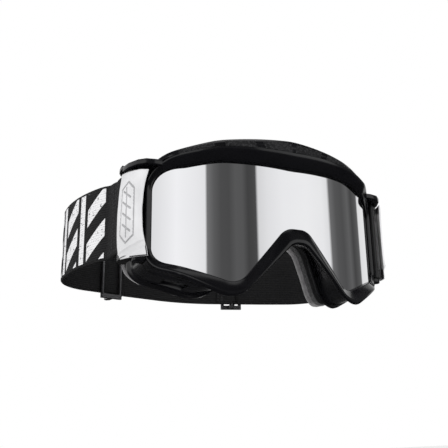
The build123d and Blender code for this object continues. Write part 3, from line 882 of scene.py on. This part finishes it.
def cover_curve():
    """Centre, radius and start angle of the cover's plan curve."""
    front, rear = Vector(COVER_FRONT), Vector(COVER_REAR)
    chord = rear - front
    half = chord.length / 2
    radius = (half * half + COVER_BULGE ** 2) / (2 * COVER_BULGE)
    inwards = Vector((-chord.y, chord.x)).normalized()
    centre = (front + rear) / 2 + inwards * (radius - COVER_BULGE)
    return centre, radius, math.atan2(front.y - centre.y, front.x - centre.x)


def smooth_between(x, xs, ys):
    """Smooth curve through a few points."""
    x = np.asarray(x, float)
    result = np.interp(x, xs, ys)
    for _ in range(2):
        result = (np.interp(x - 0.04, xs, ys) + 2 * result + np.interp(x + 0.04, xs, ys)) / 4
    return result


# Engraved figure of the cover: a tall frame of slanted bars, as distances along and up the plate
FIGURE = [
    ((8.0, -7.0), (8.0, 20.0)), ((8.0, 20.0), (13.0, 25.0)), ((13.0, 25.0), (20.0, 22.0)),
    ((20.0, 22.0), (22.0, -4.0)), ((22.0, -4.0), (15.0, -10.0)), ((15.0, -10.0), (8.0, -7.0)),
    ((11.0, -4.0), (19.0, 1.5)), ((11.0, 2.5), (19.0, 8.0)), ((11.0, 9.0), (19.0, 14.5)),
    ((11.0, 15.5), (18.0, 20.5)), ((15.0, -6.5), (15.0, 22.0)),
]


def distance_to(p, first, last):
    """Distance of every point from one straight line."""
    first, last = np.array(first), np.array(last)
    way = last - first
    share = np.clip(((p - first) @ way) / (way @ way), 0, 1)
    return np.linalg.norm(p - first - share[..., None] * way, axis=-1)


def cover_relief(along, height, edge):
    """How far the plate's face stands out: an engraved figure, folds near its ends, a rolled rim."""
    points = np.stack([along, height], -1)
    figure = np.full(along.shape, 9.0)
    for first, last in FIGURE:
        figure = np.minimum(figure, distance_to(points, first, last))
    relief = -0.5 * np.exp(-(figure / 0.5) ** 4)
    low_fold = COVER_LOW + 5.4 - 0.16 * along
    relief += 0.35 * np.exp(-((height - low_fold) / 0.6) ** 2)
    relief -= 0.9 * np.clip((low_fold - height) / 4.0, 0, 1)
    high_fold = COVER_HIGH - 3.6 + 0.05 * along
    relief -= 0.8 * np.clip((height - high_fold) / 3.0, 0, 1)
    relief -= 0.55 * np.exp(-edge / 0.55)
    return relief


ENGRAVING_EDGE = 0.62         # the face counts as engraved this far under the nominal surface
ENGRAVING_MARGIN = 1.2        # and this far from the plate's edges
ENGRAVING_FOOT = -11.5        # and above this height
COVER_SHADE_REACH = 12.0           # the front of the cover's inside is painted black: painted shade


def cover_finishes(faces, engraved, shaded_front):
    """Number of each face's finish: 0 white, 1 black painted shade on the inside's front, 2 grey engraving.
    """
    back = len(engraved)
    finishes = []
    for face in faces:
        if min(face) >= back:
            finishes.append(1 if shaded_front[min(face) - back] else 0)
        else:
            finishes.append(2 if max(face) < back and engraved[list(face)].any() else 0)
    return finishes


def make_cover(across=110, up=230):
    """Curved outer plate with bulging edges and an engraved face."""
    centre, radius, start = cover_curve()
    v = np.linspace(0, 1, up + 1)[:, None]
    u = np.linspace(0, 1, across + 1)[None, :]
    heights = (0.0, 0.12, 0.3, 0.55, 0.8, 0.93, 1.0)
    front = smooth_between(v, heights, (-2.2, -0.8, 1.6, 2.4, 1.2, -0.6, -2.2))
    rear = smooth_between(v, heights, (22.4, 26.2, 28.0, 28.1, 25.8, 23.2, 22.1))
    ease = 0.5 - 0.5 * np.cos(np.pi * u)
    spread = 0.75 * u + 0.25 * ease
    along = front + (rear - front) * spread
    low = smooth_between(spread, (0.0, 0.15, 1.0), (COVER_LOW - 3.8, COVER_LOW - 3.4, COVER_LOW - 1.2))
    high = smooth_between(spread, (0.0, 0.22, 1.0), (COVER_HIGH - 6.0, COVER_HIGH - 4.6, COVER_HIGH - 2.0))
    height = low + (high - low) * v
    edge = np.minimum(np.minimum(along - front, rear - along), np.minimum(height - low, high - height))
    out = radius - 0.35 + cover_relief(along, height, edge)
    angle = start + along / radius
    inner = np.full_like(out, radius - COVER_THICKNESS)
    face, back = [np.stack([centre.x + r * np.cos(angle), centre.y + r * np.sin(angle), height], -1)
                  for r in (out, inner)]
    faces = plate_faces(across, up)
    both_sides = np.concatenate([face.reshape(-1, 3), back.reshape(-1, 3)])
    plate = mesh_object("cover_plate_left", both_sides, faces)
    engraved = (out < radius - ENGRAVING_EDGE) & (edge > ENGRAVING_MARGIN) & (height > ENGRAVING_FOOT)
    # faces on the front of the inside get black: painted shade
    paint = cover_finishes(faces, engraved.reshape(-1), (along < COVER_SHADE_REACH).reshape(-1))
    plate.data.polygons.foreach_set("material_index", paint)
    return sharp_by_angle(outward(plate), 50.0)


cover_left = make_cover()
cover_right = mirrored(cover_left, "cover_plate_right")
for cover, side in ((cover_left, "left"), (cover_right, "right")):
    # the black inlay on the front of the cover's inside is painted shade
    finish_piece(cover, f"outrigger_{side}_body", COVER_WHITE, [f"outrigger_cover_{side}"],
                 [SATIN_BLACK, COVER_GREY])
    cover.visible_glossy = False


# ---------------------------------------------------------------- strap

ARM_WAY = (Vector(BAR) - Vector(PIN)).normalized()


def strap_line():
    """Arcs and straight of one half of the loop: centre, radius, start and end angle."""
    slope = math.radians(BACK_ANGLE)
    back_radius = STRAIGHT_START_X / math.sin(slope)
    straight_top = LOOP_BACK_Y - back_radius * (1 - math.cos(slope))
    straight_foot = straight_top - (STRAIGHT_END_X - STRAIGHT_START_X) * math.tan(slope)
    corner_radius = (LOOP_HALF_WIDTH - STRAIGHT_END_X) / (1 - math.sin(slope))
    corner_y = straight_foot - corner_radius * math.cos(slope)
    start = Vector(BAR) + ARM_WAY * (BAR_RADIUS + END_TAIL + 1.5)
    rise, run = LOOP_HALF_WIDTH - start.x, corner_y - start.y
    side_radius = (rise * rise + run * run) / (2 * rise)
    side = ((LOOP_HALF_WIDTH - side_radius, corner_y), side_radius, -math.asin(run / side_radius), 0.0)
    corner = ((LOOP_HALF_WIDTH - corner_radius, corner_y), corner_radius, 0.0, math.pi / 2 - slope)
    back = ((0.0, LOOP_BACK_Y - back_radius), back_radius, math.pi / 2 - slope, math.pi / 2)
    return side, corner, back, straight_foot


SIDE_ARC, CORNER_ARC, BACK_ARC, STRAIGHT_FOOT_Y = strap_line()
NEAR_SHARE = 0.36             # share of the side arc that goes into the near piece of the strap


def arc_points(arc, offset, first=0.0, last=1.0, spacing=1.4):
    """Points on an arc of the loop, offset outwards."""
    centre, radius, start, end = arc
    start, end = start + (end - start) * first, start + (end - start) * last
    count = max(3, int(abs(end - start) * radius / spacing))
    angle = np.linspace(start, end, count)
    return np.stack([centre[0] + (radius + offset) * np.cos(angle),
                     centre[1] + (radius + offset) * np.sin(angle)], 1)


def resampled(points, spacing):
    """Even points along a smooth curve through the given ones."""
    points = np.asarray(points, float)
    keep = np.concatenate([[True], np.linalg.norm(np.diff(points, axis=0), axis=1) > 1e-4])
    points = points[keep]
    padded = np.concatenate([2 * points[:1] - points[1:2], points, 2 * points[-1:] - points[-2:-1]])
    curve = []
    for i in range(1, len(padded) - 2):
        a, b, c, d = padded[i - 1:i + 3]
        for t in np.linspace(0, 1, 8, endpoint=False):
            curve.append(0.5 * (2 * b + (c - a) * t + (2 * a - 5 * b + 4 * c - d) * t * t
                                + (3 * b - a - 3 * c + d) * t ** 3))
    curve.append(points[-1])
    curve = np.array(curve)
    length = np.concatenate([[0], np.cumsum(np.linalg.norm(np.diff(curve, axis=0), axis=1))])
    at = np.linspace(0, length[-1], max(4, int(length[-1] / spacing)))
    return np.stack([np.interp(at, length, curve[:, 0]), np.interp(at, length, curve[:, 1])], 1)


# The elastic gathers in the outrigger's slot and opens out behind it.
# Distance along the strap, height of its middle, width
STRAP_LIE = ((0, 11.9, 44.6), (24, 11.9, 44.6), (46, 13.6, 47.8), (95, 14.6, 49.2), (135, 13.8, 47.8),
             (165, 12.8, 46.5), (900, 12.8, 46.5))
SELVEDGE = 0.8                # width of the rounded edge of the webbing
EDGE_CROWDING = 0.92          # points stand closer together towards the edges
PLY_GAP = 0.05                # between two layers that are sewn together


def ribbon(name, path, uv_start=0.0, spacing=0.9, across=22):
    """Webbing along a plan path, printed outside and plain inside, with rounded selvedges.

    Its UVs are the length along the strap and the place across it, in millimetres.
    """
    centre = resampled(path, spacing)
    way = np.gradient(centre, axis=0)
    way /= np.linalg.norm(way, axis=1)[:, None]
    out = np.stack([way[:, 1], -way[:, 0]], 1)
    length = np.concatenate([[0], np.cumsum(np.linalg.norm(np.diff(centre, axis=0), axis=1))]) + uv_start
    at, middles, widths = zip(*STRAP_LIE)
    middle = smooth_between(length / 100, np.array(at) / 100, middles)
    stretch = smooth_between(length / 100, np.array(at) / 100, widths) / STRAP_WIDTH
    half = STRAP_WIDTH / 2
    crowded = math.pi / 2 * EDGE_CROWDING
    z = half * np.sin(np.linspace(-1, 1, across + 1) * crowded) / math.sin(crowded)
    into_edge = np.clip((np.abs(z) - half + SELVEDGE) / SELVEDGE, 0, 1)
    thick = STRAP_THICKNESS / 2 * np.sqrt(np.clip(1 - into_edge ** 2, 0.12, 1))
    loop_z = np.concatenate([z, z[::-1]])
    loop_d = np.concatenate([thick, -thick[::-1]])
    around = len(loop_z)
    verts, uvs = [], []
    for i, (point, normal) in enumerate(zip(centre, out)):
        for height, depth in zip(loop_z, loop_d):
            x, y = point + normal * depth
            verts.append((x, y, middle[i] + height * stretch[i]))
            uvs.append((length[i], height + half))
    faces, which = [], []
    for i in range(len(centre) - 1):
        for k in range(around):
            a, b = i * around + k, i * around + (k + 1) % around
            faces.append((a, b, b + around, a + around))
            which.append(0 if k <= across else 1)
    faces.append(list(range(around)))
    faces.append([(len(centre) - 1) * around + k for k in range(around)])
    which += [1, 1]
    obj = mesh_object(name, verts, faces)
    layer = obj.data.uv_layers.new(name="webbing")
    corners = np.zeros(len(obj.data.loops), dtype=np.int32)
    obj.data.loops.foreach_get("vertex_index", corners)
    layer.data.foreach_set("uv", np.array(uvs)[corners].ravel())
    for material in (PRINTED, KNIT):
        obj.data.materials.append(material)
    obj.data.polygons.foreach_set("material_index", which)
    return sharp_by_angle(outward(obj), 55.0), float(length[-1]), float(length[-1] - uv_start)


def arm_frame(along, sideways):
    """Plan point behind the outrigger's bar: along the arm, and sideways outwards."""
    return (BAR[0] + ARM_WAY.x * along + ARM_WAY.y * sideways,
            BAR[1] + ARM_WAY.y * along - ARM_WAY.x * sideways)


def end_fold():
    """Strap end sewn round the outrigger's bar, from its raw edge to where the strap runs on."""
    ply = STRAP_THICKNESS / 2 + PLY_GAP
    local = [(END_TAIL + 1.0, -ply), (9.0, -ply), (6.0, -ply - 0.15), (3.2, -ply - 0.9)]
    for degrees in range(-90, -251, -20):
        angle = math.radians(degrees)
        local.append((FOLD_RADIUS * math.cos(angle), FOLD_RADIUS * math.sin(angle)))
    local += [(3.2, ply + 0.9), (6.0, ply + 0.15), (9.0, ply), (END_TAIL - 1.0, ply)]
    return [arm_frame(a, s) for a, s in local]


def near_path(offset):
    """From the fold round the bar to a third of the way along the wearer's temple."""
    return np.concatenate([end_fold(), arc_points(SIDE_ARC, offset, 0.05, NEAR_SHARE, 4.0)])


def mirror_path(points):
    """Plan path on the other side of the head."""
    return np.asarray(points) * np.array([-1, 1])


def straight_point(x, offset):
    """Plan point of a strap layer on the straight stretch."""
    slope = math.radians(BACK_ANGLE)
    y = STRAIGHT_FOOT_Y + (STRAIGHT_END_X - x) * math.tan(slope)
    return (x + math.sin(slope) * offset, y + math.cos(slope) * offset)


def slider_frame(x_slider, along, outward_by):
    """Plan point near a slider on the straight stretch: along is towards the middle of the back."""
    slope = math.radians(BACK_ANGLE)
    x, y = straight_point(x_slider, 0.0)
    return (x - math.cos(slope) * along + math.sin(slope) * outward_by,
            y + math.sin(slope) * along + math.cos(slope) * outward_by)


SLIDER_CLEARANCE = 0.35       # between the strap and the slider
WRAP_GAP = 0.1                # between a slider's bar and the strap round it
BAR_OFFSET = (-LAYER + STRAP_THICKNESS / 2 + SLIDER_CLEARANCE + SLIDER_BAR_RADIUS + WRAP_GAP
              + STRAP_THICKNESS)


def tail_fold(crank):
    """Strap end sewn round a slider's centre bar, on the +X side.

    crank is 1 where the slider lies outside the loop, -1 inside.
    """
    ring = SLIDER_BAR_RADIUS + WRAP_GAP + STRAP_THICKNESS / 2
    second = LAYER + STRAP_THICKNESS + PLY_GAP
    local = [(SLIDER_TAIL + 1.3, LAYER), (8.0, LAYER), (4.0, LAYER + 0.02),
             (1.5, BAR_OFFSET - ring + 0.12)]
    for degrees in range(255, 89, -20):
        angle = math.radians(degrees)
        local.append((ring * math.cos(angle), BAR_OFFSET + ring * math.sin(angle)))
    local += [(3.0, BAR_OFFSET + ring - 0.9), (6.0, second + 0.5), (9.0, second),
              (SLIDER_TAIL + 1.0, second)]
    return [(along, crank * away) for along, away in local]


def far_path(offset, slider_x, crank):
    """From the temple round the back of the head to the fold on the far slider."""
    path = [arc_points(SIDE_ARC, offset, NEAR_SHARE, 1.0), arc_points(CORNER_ARC, offset)]
    path.append([straight_point(x, offset) for x in np.linspace(STRAIGHT_END_X, STRAIGHT_START_X, 30)])
    path.append(arc_points(BACK_ARC, offset))
    path.append(mirror_path(arc_points(BACK_ARC, offset))[::-1])
    stop = SLIDER_TAIL + 3.0
    reach = slider_x - math.cos(math.radians(BACK_ANGLE)) * stop
    path.append(mirror_path([straight_point(x, offset) for x in np.linspace(STRAIGHT_START_X, reach, 24)]))
    fold = [slider_frame(slider_x, along, away) for along, away in tail_fold(crank)]
    path.append(mirror_path(fold))
    return np.concatenate(path)


# Side, its sign, layer of the loop, side of its slider, and which way the end folds there
STRAPS = (
    ("left", 1, LAYER, "right", 1),
    ("right", -1, -LAYER, "left", -1),
)


for side, sign, offset, far_side, crank in STRAPS:
    near, end_uv, near_length = ribbon(f"strap_{side}_near", near_path(offset))
    far, _, far_length = ribbon(f"strap_{side}_back", far_path(offset, SLIDER_X[far_side], crank),
                                end_uv, 1.2)
    if sign < 0:
        near, far = flipped(near), flipped(far)
    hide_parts(f"strap_end_loop_{side}")
    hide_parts(f"strap_{side}", f"strap_tail_loop_{far_side}")
    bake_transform(near)
    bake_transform(far)


# ---------------------------------------------------------------- stitches

def stitch_tree():
    """Geometry nodes: short rounded stitches at a pitch along every edge line."""
    tree = bpy.data.node_groups.new("stitch_row", "GeometryNodeTree")
    face = tree.interface
    face.new_socket("Line", in_out="INPUT", socket_type="NodeSocketGeometry")
    for label in ("Pitch", "Stitch Length", "Thread Radius"):
        face.new_socket(label, in_out="INPUT", socket_type="NodeSocketFloat")
    face.new_socket("Thread", in_out="INPUT", socket_type="NodeSocketMaterial")
    face.new_socket("Stitches", in_out="OUTPUT", socket_type="NodeSocketGeometry")
    nodes, link = tree.nodes, tree.links.new
    start = nodes.new("NodeGroupInput")
    end = nodes.new("NodeGroupOutput")
    curve = nodes.new("GeometryNodeMeshToCurve")
    even = nodes.new("GeometryNodeResampleCurve")
    even.mode = "LENGTH"
    points = nodes.new("GeometryNodeInstanceOnPoints")
    bead = nodes.new("GeometryNodeMeshUVSphere")
    bead.inputs["Segments"].default_value = 8
    bead.inputs["Rings"].default_value = 6
    bead.inputs["Radius"].default_value = 1.0
    shape = nodes.new("ShaderNodeCombineXYZ")
    tangent = nodes.new("GeometryNodeInputTangent")
    turn = nodes.new("FunctionNodeAlignRotationToVector")
    turn.axis = "X"
    half = nodes.new("ShaderNodeMath")
    half.operation = "MULTIPLY"
    half.inputs[1].default_value = 0.5
    real = nodes.new("GeometryNodeRealizeInstances")
    paint = nodes.new("GeometryNodeSetMaterial")
    link(start.outputs["Line"], curve.inputs[0])
    link(curve.outputs[0], even.inputs["Curve"])
    link(start.outputs["Pitch"], even.inputs["Length"])
    link(even.outputs[0], points.inputs["Points"])
    link(bead.outputs["Mesh"], points.inputs["Instance"])
    link(tangent.outputs[0], turn.inputs["Vector"])
    link(turn.outputs[0], points.inputs["Rotation"])
    link(start.outputs["Stitch Length"], half.inputs[0])
    link(half.outputs[0], shape.inputs["X"])
    link(start.outputs["Thread Radius"], shape.inputs["Y"])
    link(start.outputs["Thread Radius"], shape.inputs["Z"])
    link(shape.outputs[0], points.inputs["Scale"])
    link(points.outputs[0], real.inputs[0])
    link(real.outputs[0], paint.inputs["Geometry"])
    link(start.outputs["Thread"], paint.inputs["Material"])
    link(paint.outputs[0], end.inputs[0])
    return tree


STITCH_ROW = stitch_tree()
STITCH_PITCH = 2.4
STITCH_LENGTH = 1.8
THREAD_RADIUS = 0.22
STITCH_MARGIN = 2.5           # from the sewn box to the edges of the strap


def stitch_line(name, lines):
    """Stitches along straight lines given in millimetres, as one plain mesh."""
    verts = [point for line in lines for point in line]
    edges = [(2 * i, 2 * i + 1) for i in range(len(lines))]
    mesh = bpy.data.meshes.new(name)
    mesh.from_pydata([tuple(v * MM for v in p) for p in verts], edges, [])
    obj = new_object(name, mesh)
    mod = obj.modifiers.new("Stitches", "NODES")
    mod.node_group = STITCH_ROW
    sizes = {"Pitch": STITCH_PITCH * MM, "Stitch Length": STITCH_LENGTH * MM,
             "Thread Radius": THREAD_RADIUS * MM, "Thread": THREAD}
    for item in STITCH_ROW.interface.items_tree:
        if item.item_type == "SOCKET" and item.in_out == "INPUT" and item.name in sizes:
            mod[item.identifier] = sizes[item.name]
    applied(obj)
    obj.data.polygons.foreach_set("use_smooth", [True] * len(obj.data.polygons))
    return obj


def box_stitch(place, first, last, sign):
    """Sewn box with a cross in it; place gives the plan point at a distance along the tail."""
    low = STRAP_MIDDLE_Z - STRAP_WIDTH / 2 + STITCH_MARGIN
    high = STRAP_MIDDLE_Z + STRAP_WIDTH / 2 - STITCH_MARGIN

    def at(along, z):
        x, y = place(along)
        return (sign * x, y, z)

    corners = [at(first, low), at(last, low), at(last, high), at(first, high)]
    lines = [(corners[i], corners[(i + 1) % 4]) for i in range(4)]
    return lines + [(corners[0], corners[2]), (corners[1], corners[3])]


for side, sign, offset, far_side, crank in STRAPS:
    outer_ply = STRAP_THICKNESS + PLY_GAP
    lines = box_stitch(lambda along: arm_frame(along, outer_ply), 7.5, END_TAIL - 1.5, sign)
    lines += box_stitch(lambda along: arm_frame(along, -outer_ply), 7.5, END_TAIL - 0.5, sign)
    finish_piece(stitch_line(f"end_stitches_{side}", lines), f"outrigger_{side}_body", None)
    tail_face = crank * (LAYER + 1.5 * STRAP_THICKNESS + 0.1)
    lines = box_stitch(lambda along: slider_frame(SLIDER_X[far_side], along, tail_face),
                       8.2, SLIDER_TAIL + 0.5, -sign)
    finish_piece(stitch_line(f"tail_stitches_{far_side}", lines), f"slider_{far_side}_body",
                 None)


# ---------------------------------------------------------------- metal and moulded pieces kept as they are

CARRIED = {"hinge_pin": PIN_STEEL, "outrigger": SATIN_BLACK, "slider": SLIDER_METAL}
for stem, material in CARRIED.items():
    for side in ("left", "right"):
        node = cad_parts[f"{stem}_{side}"]
        node.data.materials.clear()
        node.data.materials.append(material)


# ---------------------------------------------------------------- studio

TENT_RADIUS = 2.6              # metres
TENT_STRENGTH = 0.95
TENT_DARK = 0.015
# Brightness round the light tent, by degrees from straight ahead towards the wearer's left:
# white walls, a dark gap to the right of straight ahead and another on the left
TENT_BANDS = (
    (-180, 0.9), (-95, 0.9), (-78, 0.80), (-60, 0.97), (-46, 0.90), (-38.5, 0.85),
    (-37.0, 0.17), (-32, 0.10), (-27, 0.065), (-21, 0.06), (-16, 0.09), (-11, 0.085), (-7, 0.045),
    (-3.5, 0.05), (-1.0, 0.06),
    (0.8, 0.72), (8, 0.82), (20, 0.90), (40, 0.92), (55, 0.88), (61, 0.80),
    (63.5, 0.15), (70, 0.085), (78, 0.07), (86, 0.11), (92, 0.05), (99, 0.085), (102, 0.12),
    (104, 0.80), (125, 0.86), (180, 0.9),
)
# Share of that brightness by height in degrees, and a soft light overhead
TENT_HEIGHTS = ((-90, 0.0), (-12, 0.02), (1, 0.10), (5, 1.0), (33, 1.0), (40, 0.12), (60, 0.03), (90, 0.0))
OVERHEAD = ((-90, 0.0), (66, 0.0), (74, 0.8), (90, 0.8))


def tent_cloth():
    """Glowing cloth that reads its brightness from the mesh's own attribute."""
    material = bpy.data.materials.new("tent_cloth")
    material.use_nodes = True
    tree = material.node_tree
    tree.nodes.clear()
    light = tree.nodes.new("ShaderNodeEmission")
    out = tree.nodes.new("ShaderNodeOutputMaterial")
    read = tree.nodes.new("ShaderNodeAttribute")
    read.attribute_name = "glow"
    scale = tree.nodes.new("ShaderNodeMath")
    scale.operation = "MULTIPLY"
    scale.inputs[1].default_value = TENT_STRENGTH
    tree.links.new(read.outputs["Fac"], scale.inputs[0])
    tree.links.new(scale.outputs[0], light.inputs["Strength"])
    tree.links.new(light.outputs[0], out.inputs["Surface"])
    return material


def light_tent():
    """Dome for reflections only: a bright band with two dark gaps, and a soft light overhead."""
    turns, rises = np.linspace(-180, 180, 721), np.linspace(-90, 90, 181)
    bands = np.interp(turns, *zip(*TENT_BANDS))
    share = np.interp(rises, *zip(*TENT_HEIGHTS))
    overhead = np.interp(rises, *zip(*OVERHEAD))
    glow = TENT_DARK + share[:, None] * bands[None, :] + overhead[:, None]
    turn, rise = np.meshgrid(np.radians(turns), np.radians(rises))
    level = np.cos(rise)
    verts = TENT_RADIUS * np.stack([np.sin(turn) * level, -np.cos(turn) * level, np.sin(rise)], -1)
    columns = len(turns)
    faces = [(r * columns + c, r * columns + c + 1, (r + 1) * columns + c + 1, (r + 1) * columns + c)
             for r in range(len(rises) - 1) for c in range(columns - 1)]
    mesh = bpy.data.meshes.new("light_tent")
    mesh.from_pydata(verts.reshape(-1, 3).tolist(), [], faces)
    brightness = mesh.attributes.new("glow", "FLOAT", "POINT")
    brightness.data.foreach_set("value", glow.ravel().astype(np.float32))
    tent = new_object("light_tent", mesh)
    mesh.materials.append(tent_cloth())
    for ray in ("camera", "diffuse", "shadow", "transmission"):
        setattr(tent, "visible_" + ray, False)


def white_world():
    """Even white surroundings."""
    world = bpy.data.worlds.new("studio_world")
    bpy.context.scene.world = world
    world.use_nodes = True
    background = world.node_tree.nodes["Background"]
    background.inputs["Color"].default_value = (1.0, 1.0, 1.0, 1.0)
    background.inputs["Strength"].default_value = WORLD_STRENGTH


def studio_floor():
    """White floor well below the goggles, left out of their reflections."""
    bpy.ops.mesh.primitive_plane_add(size=FLOOR_SIZE, location=(0, 0, FLOOR_Z))
    floor = bpy.context.object
    floor.name = "studio_floor"
    floor.data.materials.append(Nodes("floor_white", (0.86, 0.86, 0.86), 0.9).material)
    floor.visible_glossy = False


def area_light(name, place, aim, size, power):
    """Softbox, in metres and watts, left out of reflections."""
    data = bpy.data.lights.new(name, "AREA")
    data.shape = "RECTANGLE"
    data.size, data.size_y = size
    data.energy = power
    obj = bpy.data.objects.new(name, data)
    bpy.context.scene.collection.objects.link(obj)
    obj.location = place
    obj.visible_glossy = False
    obj.rotation_euler = (Vector(aim) - Vector(place)).to_track_quat("-Z", "Y").to_euler()


WORLD_STRENGTH = 1.0
FLOOR_Z = -0.45
FLOOR_SIZE = 14.0
light_tent()
bpy.context.scene.view_settings.view_transform = "Standard"
white_world()
studio_floor()
area_light("key_softbox", (-1.3, -1.2, 1.5), (0, 0, 0), (0.9, 0.9), 16.0)
area_light("fill_softbox", (1.4, -1.3, 0.6), (0, 0, 0), (0.7, 1.2), 5.0)

# ---------------------------------------------------------------- camera

CAMERA_PLACE = (-0.1620, -0.3233, -0.1076)
CAMERA_TURN = math.radians(-25.92)
CAMERA_RISE = math.radians(-15.47)
CAMERA_ROLL = math.radians(-1.57)
CAMERA_LENS = 49.3
CAMERA_SHIFT = (-0.0634, 0.0730)


def make_camera():
    """Camera in front of the wearer's right cheek, a little below, looking up."""
    back = Vector((math.sin(CAMERA_TURN) * math.cos(CAMERA_RISE),
                   -math.cos(CAMERA_TURN) * math.cos(CAMERA_RISE), math.sin(CAMERA_RISE)))
    level = Vector((math.cos(CAMERA_TURN), math.sin(CAMERA_TURN), 0))
    upright = back.cross(level)
    right = math.cos(CAMERA_ROLL) * level + math.sin(CAMERA_ROLL) * upright
    up = back.cross(right)
    data = bpy.data.cameras.new("view_camera")
    data.lens = CAMERA_LENS
    data.sensor_width = 36.0
    data.shift_x, data.shift_y = CAMERA_SHIFT
    data.clip_start = 0.01
    camera = bpy.data.objects.new("view_camera", data)
    bpy.context.scene.collection.objects.link(camera)
    turn = Matrix((right, up, back)).transposed().to_4x4()
    camera.matrix_world = Matrix.Translation(CAMERA_PLACE) @ turn
    bpy.context.scene.camera = camera


make_camera()
